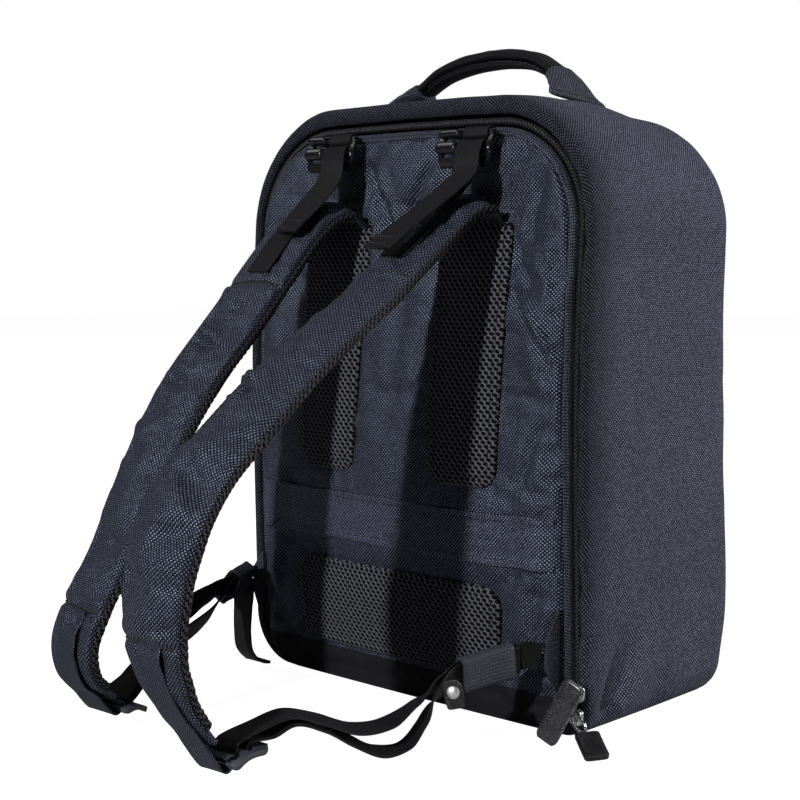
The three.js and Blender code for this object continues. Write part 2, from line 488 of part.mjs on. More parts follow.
// ---------------------------------------------------------------- load lifters at the top of the straps
// Tail of each lifter from the buckle to its hem; x is measured from the strap's middle.
const LIFTER_TAIL = {
  right: [
    { x: 10, y: -119.5, z: 389 },
    { x: 13, y: -125, z: 377 },
    { x: 11, y: -138, z: 366 },
    { x: 7, y: -158, z: 352.5 },
    { x: 3.5, y: -178, z: 339.5 },
    { x: 1, y: -198, z: 326.5 },
  ],
  left: [
    { x: 12, y: -119.5, z: 390 },
    { x: 16, y: -125, z: 377 },
    { x: 14, y: -134, z: 365 },
    { x: 10, y: -147, z: 351 },
    { x: 8, y: -162, z: 338 },
  ],
};
for (const [side, cx] of [["left", -64], ["right", 66]]) {
  const name = `lifter_buckle_${side}`, list = straps[side];
  const anchor = [[2, -5.2], [-2.2, -3.6], [-3, 0], [-1.4, 2.7], [1.6, 3.2], [4.4, 2.4], [5.4, 0], [5.2, -2.6], [7, -5.2]].map(([l, o]) => atBuckle(name, l, o, -LIFT.aside));
  add(`lifter_anchor_${side}`, ribbon(stations(anchor, 0, 2).map((s) => ({ ...s, w: 22, t: 1.2 }))), WEBBING);
  // from the strap's outer face up to the buckle, round its middle bar, and the tail back down in front
  const sewn = (side === "right" ? [7, 6, 5] : [8, 7, 6, 5]).map((k) => {
    const s = list[k], v = place(s, 1.5, s.t / 2 + 2.2);
    return { x: v.x, y: v.y, z: v.z };
  });
  const rise = [{ x: cx + 3, y: -136, z: 357.5 }, { x: cx + 7, y: -124.5, z: 370 }];
  const wrap = [[23, 3.6], [18, 3.2], [15.8, 0.6], [15, -2], [12.4, -3.4], [9.6, -3.2], [7.7, -1.2], [7.6, 1.6], [9.6, 4.6]].map(([l, o]) => atBuckle(name, l, o, -LIFT.aside));
  const tail = LIFTER_TAIL[side].map((r) => ({ ...r, x: r.x + cx }));
  add(`lifter_webbing_${side}`, ribbon(stations([...sewn, ...rise, ...wrap, ...tail], 0, 2).map((s) => ({ ...s, w: 22, t: 1.2 }))), WEBBING);
}

// ---------------------------------------------------------------- grab handle
const HANDLE_Y = -4;
const arch = (rows) => stations(rows.map((r) => ({ y: HANDLE_Y, wide: 90, ...r })), rows.length * 2);
const round = (list) =>
  skin(list.map((s) => [...Array(12).keys()].map((i) => place(s, (s.w / 2) * Math.cos((i * Math.PI) / 6), (s.t / 2) * Math.sin((i * Math.PI) / 6)))));
const HANDLE_ROWS = [
  { x: -64, z: 448.2, w: 19, t: 11 },
  { x: -46, z: 458.4, w: 20, t: 12 },
  { x: -22, z: 465, w: 21, t: 12.5 },
  { x: 0, z: 467.3, w: 21, t: 12.5 },
  { x: 22, z: 467, w: 21, t: 12.5 },
  { x: 46, z: 462.4, w: 20, t: 12 },
  { x: 64, z: 452.6, w: 19, t: 11 },
];
add("grab_handle", round(arch(HANDLE_ROWS)), CANVAS);
const TAB_ROWS = [
  { x: 65.4, z: 451.6, w: 23, t: 13 },
  { x: 71.5, z: 446.4, w: 30, t: 11 },
  { x: 76.5, z: 441, w: 37, t: 8 },
  { x: 81.5, z: 435, w: 43, t: 5.4 },
  { x: 86, z: 431.6, w: 46, t: 3.4 },
];
for (const [side, k] of [["left", -1], ["right", 1]]) add(`handle_tab_${side}`, round(arch(TAB_ROWS.map((r, i) => ({ ...r, x: k * r.x, z: r.z - (k < 0 ? 4.2 * (1 - i / 4) : 0) })))), CANVAS);

// ---------------------------------------------------------------- zip sliders and pulls
// Places at the lower right end of the zip: slider, ring eye, and the two ends of the leather pull.
const PULLS = {
  upper: { slider: V(162.5, -103.6, 33), top: V(167, -114.6, 42.8), end: V(151, -124.5, 4.8), half: 8, thick: 4.2, wide: 12 },
  lower: { slider: V(161.5, -103.6, 17), top: V(174, -112.5, 12), end: V(193, -124, 3.4), half: 8.5, thick: 3.4, wide: 42 },
};
for (const [name, p] of Object.entries(PULLS)) {
  const body = new THREE.ExtrudeGeometry(new THREE.Shape([new THREE.Vector2(-4.2, -5), new THREE.Vector2(4.2, -5), new THREE.Vector2(5, 3), new THREE.Vector2(2.4, 6.2), new THREE.Vector2(-2.4, 6.2), new THREE.Vector2(-5, 3)]), { depth: 4.4, bevelEnabled: false });
  const holder = new THREE.Group();
  holder.position.copy(p.slider);
  holder.rotation.x = Math.PI / 2;
  part.add(holder);
  add(`zip_slider_${name}`, body, NICKEL, holder);
  // wire ring between the slider and the pull
  const along = p.end.clone().sub(p.top).normalize();
  const eye = V(p.slider.x, p.slider.y - 6.2, p.slider.z + 1), mid = eye.clone().lerp(p.top, 0.5), reach = eye.distanceTo(p.top) / 2 - 0.3;
  const dir = p.top.clone().sub(eye).normalize(), side = dir.clone().cross(V(0, 1, 0)).normalize(), wire = 0.9, loop = [];
  for (let i = 0; i < 16; i++) {
    const a = (i * Math.PI) / 8, c = mid.clone().addScaledVector(dir, reach * Math.cos(a)).addScaledVector(side, 4.2 * Math.sin(a));
    const r = dir.clone().multiplyScalar(Math.cos(a)).addScaledVector(side, Math.sin(a)), up = dir.clone().cross(side);
    loop.push([...Array(6).keys()].map((k) => c.clone().addScaledVector(r, wire * Math.cos((k * Math.PI) / 3)).addScaledVector(up, wire * Math.sin((k * Math.PI) / 3))));
  }
  const n = 6, pos = loop.flat().flatMap((q) => [q.x, q.y, q.z]), index = [];
  for (let i = 0; i < 16; i++)
    for (let j = 0; j < n; j++) {
      const a = i * n + j, b = i * n + ((j + 1) % n), c = ((i + 1) % 16) * n + j, d = ((i + 1) % 16) * n + ((j + 1) % n);
      index.push(a, b, d, a, d, c);
    }
  const ringGeometry = new THREE.BufferGeometry();
  ringGeometry.setAttribute("position", new THREE.Float32BufferAttribute(pos, 3));
  ringGeometry.setIndex(index);
  add(`pull_ring_${name}`, faceOut(ringGeometry), NICKEL);
  // leather pull: a flat bar with eased corners
  const rows = [0.03, 0.12, 0.9, 1].map((u, i) => {
    const v = p.top.clone().addScaledVector(along, 3.8).lerp(p.end, u), w = [1.4, 2, 2, 1.7][i] * p.half;
    return { x: v.x, y: v.y, z: v.z, wide: p.wide, w, t: p.thick };
  });
  add(`leather_pull_${name}`, padded(stations(rows, 4), (s) => -s.t / 2, (s) => s.t / 2), LEATHER);
}

export default part;
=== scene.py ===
# Looks of a canvas backpack, made round its fixed frame.
# Tables and points are in millimetres and become metres when a mesh is made.
import math

import bmesh
import bpy
import numpy as np
from mathutils import Matrix, Vector

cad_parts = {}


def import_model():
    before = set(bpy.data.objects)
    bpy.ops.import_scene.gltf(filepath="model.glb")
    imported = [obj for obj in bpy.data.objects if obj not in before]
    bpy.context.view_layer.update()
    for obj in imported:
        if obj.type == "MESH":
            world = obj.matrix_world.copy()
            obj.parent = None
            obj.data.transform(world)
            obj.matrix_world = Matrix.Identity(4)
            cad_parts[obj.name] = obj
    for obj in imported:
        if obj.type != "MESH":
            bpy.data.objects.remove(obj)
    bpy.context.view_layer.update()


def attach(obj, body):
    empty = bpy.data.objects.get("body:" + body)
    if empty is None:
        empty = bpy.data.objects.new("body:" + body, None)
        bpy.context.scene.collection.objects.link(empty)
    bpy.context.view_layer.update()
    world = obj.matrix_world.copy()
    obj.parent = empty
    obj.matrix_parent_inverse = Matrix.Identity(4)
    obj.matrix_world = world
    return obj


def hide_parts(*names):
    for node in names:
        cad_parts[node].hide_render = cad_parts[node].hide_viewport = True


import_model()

scene = bpy.context.scene
scene.view_settings.view_transform = "Standard"

# ---------------------------------------------------------------- sizes shared with the frame
BAG = dict(half=164, top=427, crown=4, depth=200, top_r=84, base_r=22, base_l=40, front_r=46, wall=3)
SLUMP = dict(x=4, z=240, front=8)
REAR_Y = -100.0
TOP_LEAN = dict(reach=8, z0=230, z1=430)
RIM = (8, 13, 8)  # insets are (side, top, base)
ZIP = (11.2, 18, 15)
PANEL = (14.2, 23, 11)
FACE = (18.0, 27.2, 1.0)  # seam of the panel's cloth face; it runs down to the base
CHANNEL = dict(x=66, top=33, base=29, z0=163, z1=347, thick=3)
LUMBAR = dict(half=100, z0=29, z1=95, thick=4)
BAND = dict(half=143, z0=112, z1=147, thick=1.6, stand=1.2)
GAP = 0.4
BASE_SEAM_Z = 27.0


# ---------------------------------------------------------------- numbers
def smooth(a, b, x):
    t = np.clip((np.asarray(x, float) - a) / (b - a), 0.0, 1.0)
    return t * t * (3 - 2 * t)


_NOISE = {}


def noise(x, y, seed):
    """Smooth seeded noise from -1 to 1."""
    if seed not in _NOISE:
        _NOISE[seed] = np.random.default_rng(seed).random((61, 61)) * 2 - 1
    t = _NOISE[seed]
    x, y = np.broadcast_arrays(np.asarray(x, float), np.asarray(y, float))
    xi, yi = np.floor(x), np.floor(y)
    fx, fy = x - xi, y - yi
    fx, fy = fx**3 * (fx * (fx * 6 - 15) + 10), fy**3 * (fy * (fy * 6 - 15) + 10)
    xi, yi = xi.astype(int) % 61, yi.astype(int) % 61
    xj, yj = (xi + 1) % 61, (yi + 1) % 61
    return (t[xi, yi] * (1 - fx) + t[xj, yi] * fx) * (1 - fy) + (t[xi, yj] * (1 - fx) + t[xj, yj] * fx) * fy


def unit(v):
    v = np.asarray(v, float)
    return v / np.maximum(np.linalg.norm(v, axis=-1, keepdims=True), 1e-12)


def lengths(p, axis):
    """Distance run along an axis of a grid of points."""
    d = np.linalg.norm(np.diff(p, axis=axis), axis=-1)
    zero = np.zeros_like(np.take(d, [0], axis=axis))
    return np.concatenate([zero, np.cumsum(d, axis=axis)], axis=axis)


def finer(p, wrap_j=False, times=1):
    """Doubles a grid of points by smooth midpoints."""
    for _ in range(times):
        for axis, wrap in ((0, False), (1, wrap_j)):
            q = np.moveaxis(p, axis, 0)
            if wrap:
                mid = (9 * (q + np.roll(q, -1, 0)) - np.roll(q, 1, 0) - np.roll(q, -2, 0)) / 16
                out = np.empty((2 * len(q), *q.shape[1:]))
                out[0::2], out[1::2] = q, mid
            else:
                e = np.concatenate([2 * q[:1] - q[1:2], q, 2 * q[-1:] - q[-2:-1]])
                mid = (9 * (e[1:-2] + e[2:-1]) - e[:-3] - e[3:]) / 16
                out = np.empty((2 * len(q) - 1, *q.shape[1:]))
                out[0::2], out[1::2] = q, mid
            p = np.moveaxis(out, 0, axis)
    return p


# ---------------------------------------------------------------- meshes
class Piece:
    """Grids of points gathered into one mesh. UVs are laid out along the cloth, in metres."""

    def __init__(self):
        self.v, self.f, self.uv, self.m, self.n = [], [], [], [], 0

    def grid(self, p, uv=None, wrap_i=False, wrap_j=False, m=0, keep=None, shift=(0.0, 0.0)):
        p = np.asarray(p, float)
        n, k = p.shape[:2]
        idx = self.n + np.arange(n * k).reshape(n, k)
        q = p
        if wrap_i:
            q = np.concatenate([q, q[:1]], 0)
        if wrap_j:
            q = np.concatenate([q, q[:, :1]], 1)
        if uv is None:
            u, v = lengths(q, 1), lengths(q, 0)
            if not wrap_j:
                u = u - u[:, -1:] / 2
            uv = np.stack([u + shift[0], v + shift[1]], -1)
        i, j = np.meshgrid(np.arange(q.shape[0] - 1), np.arange(q.shape[1] - 1), indexing="ij")
        i, j = i.ravel(), j.ravel()
        if keep is not None:
            i, j = i[keep.ravel()], j[keep.ravel()]
        a, b, c, d = idx[i, j], idx[i, (j + 1) % k], idx[(i + 1) % n, (j + 1) % k], idx[(i + 1) % n, j]
        self.f += np.stack([a, b, c, d], 1).tolist()
        self.uv.append(np.stack([uv[i, j], uv[i, j + 1], uv[i + 1, j + 1], uv[i + 1, j]], 1).reshape(-1, 2))
        self.m += np.broadcast_to(m, idx.shape)[i % n, j % k].tolist() if np.ndim(m) else [int(m)] * len(i)
        self.v.append(p.reshape(-1, 3))
        self.n += n * k
        return idx

    def points(self):
        return np.concatenate(self.v)

    def fan(self, ring, at=None, m=0, away=None):
        """Closes a loop of points with a fan round its middle."""
        pts = self.points()[ring]
        at = pts.mean(0) if at is None else np.asarray(at, float)
        self.v.append(at[None])
        c, self.n = self.n, self.n + 1
        nxt = np.roll(ring, -1)
        self.f += [[int(a), int(b), c] for a, b in zip(ring, nxt)]
        flat = pts - at
        e1 = unit(flat[0])
        nrm = unit(np.cross(flat, np.roll(flat, -1, 0)).sum(0))
        e2 = np.cross(nrm, e1)
        uv = np.stack([flat @ e1, flat @ e2], -1)
        self.uv.append(np.stack([uv, np.roll(uv, -1, 0), np.zeros_like(uv)], 1).reshape(-1, 2))
        self.m += [m] * len(ring)

    def strip_between(self, ring, pts, m=0):
        """Joins a loop of points already here to a new loop of the same count and gives the new loop."""
        old = self.points()[ring]
        idx = self.grid(np.stack([old, pts]), wrap_j=True, m=m)
        return idx[1]

    def make(self, name, *mats, nodes=(), slot=None, sharp=None, weld=True, flat=False):
        me = bpy.data.meshes.new(name)
        me.from_pydata((np.concatenate(self.v) * 0.001).tolist(), [], self.f)
        layer = me.uv_layers.new(name="Weave")
        layer.uv.foreach_set("vector", (np.concatenate(self.uv) * 0.001).astype(np.float32).ravel())
        for mat in mats:
            me.materials.append(mat)
        if len(mats) > 1:
            me.polygons.foreach_set("material_index", np.asarray(self.m, np.int32))
        me.polygons.foreach_set("use_smooth", np.full(len(me.polygons), not flat))
        b = bmesh.new()
        b.from_mesh(me)
        if weld:
            bmesh.ops.remove_doubles(b, verts=b.verts, dist=2e-6)
        bmesh.ops.recalc_face_normals(b, faces=b.faces)
        b.to_mesh(me)
        b.free()
        if sharp:
            me.set_sharp_from_angle(angle=math.radians(sharp))
        o = bpy.data.objects.new(name, me)
        scene.collection.objects.link(o)
        return own(o, nodes)


def own(o, nodes=()):
    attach(o, "root")
    if nodes:
        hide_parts(*nodes)
    return o


def baked(o):
    """Applies an object's modifiers."""
    ev = o.evaluated_get(bpy.context.evaluated_depsgraph_get())
    me = bpy.data.meshes.new_from_object(ev)
    old, me.name = o.data, o.name
    o.modifiers.clear()
    o.data = me
    bpy.data.meshes.remove(old)
    return o


def border(idx):
    """The outer loop of a grid's point numbers."""
    return np.concatenate([idx[0, :-1], idx[:-1, -1], idx[-1, :0:-1], idx[:0:-1, 0]])


def swell(p, held, wrap_j=False, pressure=4.0, slack=0.02, cap=4.0, frames=20, bend=0.6, stiff=20.0):
    """Settles a grid of points as cloth under a little air pressure, with some of its points held by the seams."""
    g = Piece()
    g.grid(p, wrap_j=wrap_j)
    me = bpy.data.meshes.new("swell")
    me.from_pydata((np.concatenate(g.v) * 0.001).tolist(), [], g.f)
    o = bpy.data.objects.new("swell", me)
    scene.collection.objects.link(o)
    group = o.vertex_groups.new(name="held")
    group.add(np.flatnonzero(held.ravel()).tolist(), 1.0, "REPLACE")
    mod = o.modifiers.new("Cloth", "CLOTH")
    s = mod.settings
    s.quality = 6
    s.mass = 0.12
    s.tension_stiffness = s.compression_stiffness = stiff
    s.shear_stiffness = stiff / 3
    s.bending_stiffness = bend
    s.vertex_group_mass = "held"
    s.use_pressure = True
    s.uniform_pressure_force = pressure
    s.shrink_min = s.shrink_max = -slack
    s.effector_weights.gravity = 0
    mod.collision_settings.use_collision = False
    mod.point_cache.frame_start, mod.point_cache.frame_end = 1, frames
    for f in range(1, frames + 1):
        scene.frame_set(f)
    ev = o.evaluated_get(bpy.context.evaluated_depsgraph_get())
    co = np.empty(len(ev.data.vertices) * 3, np.float32)
    ev.data.vertices.foreach_get("co", co)
    move = co.reshape(p.shape).astype(float) * 1000 - p
    far = np.linalg.norm(move, axis=-1, keepdims=True)
    move *= np.where(far > 1e-9, cap * np.tanh(far / cap) / np.maximum(far, 1e-9), 0)
    bpy.data.objects.remove(o)
    bpy.data.meshes.remove(me)
    scene.frame_set(1)
    return p + move


# ---------------------------------------------------------------- strips along a curve
def curve_at(p, t):
    """Centripetal curve through the points p: places and tangents."""
    last = len(p) - 1
    x = np.clip(t, 0, 1) * last
    k = np.minimum(x.astype(int), last - 1)
    w = (x - k)[:, None]
    e = np.concatenate([2 * p[:1] - p[1:2], p, 2 * p[-1:] - p[-2:-1]])
    p0, p1, p2, p3 = e[k], e[k + 1], e[k + 2], e[k + 3]

    def gap(a, b):
        return np.maximum(((a - b) ** 2).sum(1) ** 0.25, 1e-4)[:, None]

    d0, d1, d2 = gap(p0, p1), gap(p1, p2), gap(p2, p3)
    t1 = ((p1 - p0) / d0 - (p2 - p0) / (d0 + d1) + (p2 - p1) / d1) * d1
    t2 = ((p2 - p1) / d1 - (p3 - p1) / (d1 + d2) + (p3 - p2) / d2) * d1
    c2, c3 = -3 * p1 + 3 * p2 - 2 * t1 - t2, 2 * p1 - 2 * p2 + t1 + t2
    return p1 + t1 * w + c2 * w**2 + c3 * w**3, t1 + 2 * c2 * w + 3 * c3 * w**2


class Strip:
    """Stations along a smooth curve through rows of a table: place, along, across, out, width w and thickness t."""

    def __init__(self, rows, count=None, steps=0, spacing=None):
        col = lambda key, d=0.0: np.array([r.get(key, d) for r in rows], float)
        p = np.stack([col("x"), col("y"), col("z")], 1)
        last = len(rows) - 1
        if steps:
            t = np.linspace(0, 1, last * steps + 1)
        else:
            fine = np.linspace(0, 1, max(600, last * 60) + 1)
            run = lengths(curve_at(p, fine)[0], 0)
            if spacing:
                count = max(2, int(round(run[-1] / spacing)))
            t = np.interp(np.linspace(0, run[-1], count + 1), run, fine)
        k = np.minimum((t * last).astype(int), last - 1)
        f = t * last - k
        f = f * f * (3 - 2 * f)
        mix = lambda a: a[k] + (a[k + 1] - a[k]) * f
        self.at, tan = curve_at(p, t)
        self.along = unit(tan)
        wide, tip = np.radians(mix(col("wide"))), np.radians(mix(col("tip")))
        ac = np.stack([np.cos(tip) * np.cos(wide), np.cos(tip) * np.sin(wide), np.sin(tip)], 1)
        self.across = unit(ac - self.along * (ac * self.along).sum(1, keepdims=True))
        self.out = unit(np.cross(self.along, self.across))
        self.w, self.t = mix(col("w", 25.0)), mix(col("t", 1.4))
        self.s = lengths(self.at, 0)

    def __len__(self):
        return len(self.at)

    def part(self, a, b):
        o = object.__new__(Strip)
        for key in ("at", "along", "across", "out", "w", "t", "s"):
            setattr(o, key, getattr(self, key)[a:b])
        return o

    def place(self, a, o):
        """Points at offsets across and out; both are (stations, points) or spread to that."""
        a, o = np.broadcast_arrays(np.asarray(a, float), np.asarray(o, float))
        if a.ndim == 1:
            a, o = np.broadcast_to(a, (len(self), len(a))), np.broadcast_to(o, (len(self), len(o)))
        return self.at[:, None] + a[..., None] * self.across[:, None] + o[..., None] * self.out[:, None]

    def rows(self, a, o, i0, i1):
        """Rows of a table at an offset from a stretch of this strip."""
        v = self.at + self.across * a + self.out * np.asarray(o)[..., None]
        return [
            dict(x=v[i][0], y=v[i][1], z=v[i][2], wide=math.degrees(math.atan2(self.across[i][1], self.across[i][0])), tip=math.degrees(math.asin(np.clip(self.across[i][2], -1, 1))))
            for i in range(i0, i1)
        ]


def ring_basis(n, m):
    """Weights that draw m points round a closed smooth curve through n points."""
    out = np.zeros((m, n))
    for r in range(m):
        x = r * n / m
        k, w = int(x), x - int(x)
        for d, c in ((-1, (-w + 2 * w**2 - w**3) / 2), (0, (2 - 5 * w**2 + 3 * w**3) / 2), (1, (w + 4 * w**2 - 3 * w**3) / 2), (2, (-(w**2) + w**3) / 2)):
            out[r, (k + d) % n] += c
    return out


def webbing(piece, strip, w, t, lift=0.0, m=0):
    """A flat woven strap with rounded selvages along a strip."""
    w, t, lift = (np.broadcast_to(np.asarray(x, float), len(strip)).copy() for x in (w, t, lift))
    h, a = t / 2, w / 2
    us = np.array([-1, -0.985, -0.93, -0.8, -0.4, 0, 0.4, 0.8, 0.93, 0.985, 1, 0.985, 0.93, 0.8, 0.4, 0, -0.4, -0.8, -0.93, -0.985])
    os_ = np.array([0, 0.62, 1.12, 0.96, 0.97, 0.97, 0.97, 0.96, 1.12, 0.62, 0, -0.62, -1.12, -0.96, -0.97, -0.97, -0.97, -0.96, -1.12, -0.62])
    p = strip.place(a[:, None] * us[None], lift[:, None] + h[:, None] * os_[None])
    ring_u = np.concatenate([us, us[:1]])
    u = np.where(np.arange(21) <= 10, ring_u * 1.0, 2 - ring_u)[None] * a[:, None]
    uv = np.stack([u, np.broadcast_to(strip.s[:, None], u.shape)], -1)
    idx = piece.grid(p, uv=uv, wrap_j=True, m=m)
    piece.fan(idx[0], m=m)
    piece.fan(idx[-1], m=m)
    return idx


# ---------------------------------------------------------------- stitches
class Thread:
    """Short rounded stitches, gathered into one mesh."""

    def __init__(self):
        self.piece = Piece()

    def line(self, path, normal, length=3.0, gap=1.5, r=0.34, sink=0.0, closed=False):
        path = np.asarray(path, float)
        if closed:
            path = np.concatenate([path, path[:1]])
        normal = np.broadcast_to(np.asarray(normal, float), path.shape) if np.ndim(normal) == 1 or len(normal) == len(path) else np.concatenate([normal, normal[:1]])
        run = lengths(path, 0)
        n = int(run[-1] // (length + gap))
        for i in range(n):
            s0 = i * (length + gap) + gap / 2
            mid = lambda s: np.array([np.interp(s, run, path[:, c]) for c in range(3)])
            nr = unit(np.array([np.interp(s0 + length / 2, run, normal[:, c]) for c in range(3)]))
            a, b = mid(s0), mid(s0 + length)
            d = unit(b - a)
            side = unit(np.cross(d, nr))
            nr = np.cross(side, d)
            ts, rs, hs = np.array([0, 0.12, 0.5, 0.88, 1]), np.array([0.25, 0.85, 1, 0.85, 0.25]), np.array([-0.7, -0.1, 0.15, -0.1, -0.7])
            ang = np.arange(6) * math.pi / 3
            c = a[None] + (b - a)[None] * ts[:, None] + nr[None] * (hs[:, None] * r - sink)
            p = c[:, None] + (np.cos(ang)[None, :, None] * side + np.sin(ang)[None, :, None] * nr) * (r * rs)[:, None, None]
            idx = self.piece.grid(p, wrap_j=True)
            self.piece.f += [idx[0].tolist(), idx[-1][::-1].tolist()]
            for end in (p[0], p[-1]):
                self.piece.uv.append(np.zeros((6, 2)))
            self.piece.m += [0, 0]

    def make(self, name, mat):
        return self.piece.make(name, mat, weld=False)


# ---------------------------------------------------------------- materials
class Graph:
    """A procedural material. Constants are set on the shader's own sockets."""

    def __init__(self, name, **sockets):
        self.mat = bpy.data.materials.new(name)
        self.mat.use_nodes = True
        self.t = self.mat.node_tree
        self.t.nodes.clear()
        out = self.t.nodes.new("ShaderNodeOutputMaterial")
        self.bsdf = self.t.nodes.new("ShaderNodeBsdfPrincipled")
        self.t.links.new(self.bsdf.outputs[0], out.inputs[0])
        for key, value in sockets.items():
            self.bsdf.inputs[key.replace("_", " ")].default_value = value
        uv = self.t.nodes.new("ShaderNodeUVMap")
        uv.uv_map = "Weave"
        sep = self.t.nodes.new("ShaderNodeSeparateXYZ")
        self.t.links.new(uv.outputs[0], sep.inputs[0])
        self.uv, self.u, self.v = uv.outputs[0], sep.outputs[0], sep.outputs[1]
        self.obj = self.t.nodes.new("ShaderNodeTexCoord").outputs["Object"]

    def put(self, socket, value):
        if hasattr(value, "is_linked"):
            self.t.links.new(value, socket)
        else:
            socket.default_value = value

    def math(self, op, a, b=None, c=None):
        n = self.t.nodes.new("ShaderNodeMath")
        n.operation = op
        for i, x in enumerate((a, b, c)):
            if x is not None:
                self.put(n.inputs[i], x)
        return n.outputs[0]

    def vec(self, x, y, z=0.0):
        n = self.t.nodes.new("ShaderNodeCombineXYZ")
        for i, q in enumerate((x, y, z)):
            self.put(n.inputs[i], q)
        return n.outputs[0]

    def noise(self, scale, detail=2.0, rough=0.5, at=None, color=False):
        n = self.t.nodes.new("ShaderNodeTexNoise")
        n.inputs["Scale"].default_value, n.inputs["Detail"].default_value, n.inputs["Roughness"].default_value = scale, detail, rough
        self.t.links.new(self.obj if at is None else at, n.inputs["Vector"])
        return n.outputs["Color" if color else "Fac"]

    def cells(self, at):
        n = self.t.nodes.new("ShaderNodeTexWhiteNoise")
        n.noise_dimensions = "3D"
        self.t.links.new(at, n.inputs["Vector"])
        return n.outputs["Value"]

    def voronoi(self, scale, at=None, feature="F1", out="Distance"):
        n = self.t.nodes.new("ShaderNodeTexVoronoi")
        n.feature = feature
        n.inputs["Scale"].default_value = scale
        self.t.links.new(self.obj if at is None else at, n.inputs["Vector"])
        return n.outputs[out]

    def span(self, x, a, b, lo=0.0, hi=1.0):
        n = self.t.nodes.new("ShaderNodeMapRange")
        n.clamp = True
        n.interpolation_type = "SMOOTHSTEP"
        self.put(n.inputs["Value"], x)
        for key, v in (("From Min", a), ("From Max", b), ("To Min", lo), ("To Max", hi)):
            n.inputs[key].default_value = v
        return n.outputs["Result"]

    def mix(self, f, a, b):
        n = self.t.nodes.new("ShaderNodeMix")
        n.data_type = "RGBA"
        self.put(n.inputs["Factor"], f)
        for key, x in ((6, a), (7, b)):
            self.put(n.inputs[key], x if hasattr(x, "is_linked") else (*x, 1.0))
        return n.outputs[2]

    def scale(self, colour, k):
        n = self.t.nodes.new("ShaderNodeMix")
        n.data_type, n.blend_type = "RGBA", "MULTIPLY"
        n.inputs["Factor"].default_value = 1.0
        self.t.links.new(colour, n.inputs[6])
        c = self.t.nodes.new("ShaderNodeCombineColor")
        for i in range(3):
            self.put(c.inputs[i], k)
        self.t.links.new(c.outputs[0], n.inputs[7])
        return n.outputs[2]

    def finish(self, colour=None, rough=None, height=None, distance=0.0003, strength=1.0):
        if colour is not None:
            self.put(self.bsdf.inputs["Base Color"], colour)
        if rough is not None:
            self.put(self.bsdf.inputs["Roughness"], rough)
        if height is not None:
            n = self.t.nodes.new("ShaderNodeBump")
            n.inputs["Strength"].default_value, n.inputs["Distance"].default_value = strength, distance
            self.t.links.new(height, n.inputs["Height"])
            self.t.links.new(n.outputs[0], self.bsdf.inputs["Normal"])
        return self.mat


def weave(name, cell, warp, weft, gap, bump=0.00022, sheen=0.02, slow=0.25, power=0.55, vary=0.3, rim=False, shine=1.05, shine_rough=0.54):
    """Basket-woven cloth: light and dark floats in a checker, with dark gaps between the yarns. The checker is the
    cloth's own pattern; the warp's far lighter colour is partly painted sheen, as if one family of yarns caught the
    light.
    """
    g = Graph(name, Sheen_Weight=sheen, Sheen_Roughness=0.45, IOR=1.85)
    wob = g.noise(90.0, 2.0)
    wob2 = g.noise(70.0, 2.0)
    u = g.math("MULTIPLY_ADD", wob, 0.0011, g.u)
    v = g.math("MULTIPLY_ADD", wob2, 0.0011, g.v)
    a, b = g.math("DIVIDE", u, cell), g.math("DIVIDE", v, cell)
    sa = g.math("SINE", g.math("MULTIPLY", a, math.pi))
    sb = g.math("SINE", g.math("MULTIPLY", b, math.pi))
    ab = g.math("MULTIPLY", sa, sb)
    h = g.math("POWER", g.math("ABSOLUTE", ab), power)
    side = g.span(ab, -0.15, 0.15)
    cell_id = g.vec(g.math("FLOOR", a), g.math("FLOOR", b))
    rnd = g.cells(cell_id)
    # partly painted sheen: the warp colour is much lighter than the weft, standing in for the highlight on one family
    # of yarns
    yarn = g.mix(side, weft, warp)
    broad = g.noise(14.0, 3.0, 0.6)
    k = g.math("MULTIPLY", g.math("MULTIPLY_ADD", rnd, 2 * vary, 1 - vary), g.math("MULTIPLY_ADD", broad, 2 * slow, 1 - slow))
    # painted shade: with rim set, the cloth's colour is darkened near the rim (small v), down to 27 percent, as shade
    # on the rolled edge
    if rim:
        k = g.math("MULTIPLY", k, g.span(g.v, 0.004, 0.052, 0.27, 1.0))
    colour = g.mix(g.span(h, 0.22, 0.78), gap, g.scale(yarn, k))
    rough = g.math("MULTIPLY_ADD", rnd, 0.14, shine_rough - 0.07)
    gloss = g.math("MULTIPLY", g.math("MULTIPLY", g.span(h, 0.3, 0.85), g.math("MULTIPLY_ADD", side, 0.85, 0.15)), g.math("MULTIPLY_ADD", rnd, shine * 0.6, shine * 0.7))
    g.put(g.bsdf.inputs["Specular IOR Level"], gloss)
    g.bsdf.inputs["Specular Tint"].default_value = (0.66, 0.76, 1.0, 1.0)
    height = g.math("MULTIPLY_ADD", side, 0.25, h)
    return g.finish(colour, rough, height, bump)


def ribbed(name, dark, light, pitch=0.0012, bump=0.00018, rough=(0.36, 0.54), chevron=0.6, spec=0.16):
    """Woven strap: fine ribs along its length with a slanted twill in them."""
    g = Graph(name, Sheen_Weight=0.02, Sheen_Roughness=0.4, Specular_IOR_Level=spec)
    a = g.math("DIVIDE", g.u, pitch)
    rib = g.math("ABSOLUTE", g.math("SINE", g.math("MULTIPLY", a, math.pi)))
    slant = g.math("SINE", g.math("MULTIPLY", g.math("ADD", g.math("DIVIDE", g.v, pitch * 0.9), g.math("MULTIPLY", g.math("PINGPONG", a, 1.0), chevron)), 2 * math.pi))
    h = g.math("ADD", rib, g.math("MULTIPLY", slant, 0.35))
    fuzz = g.noise(420.0, 3.0, 0.6)
    k = g.math("ADD", g.math("MULTIPLY", h, 0.55), g.math("MULTIPLY", fuzz, 0.4))
    colour = g.mix(g.span(k, 0.15, 1.05), dark, light)
    r = g.span(fuzz, 0.3, 0.7, *rough)
    return g.finish(colour, r, h, bump)


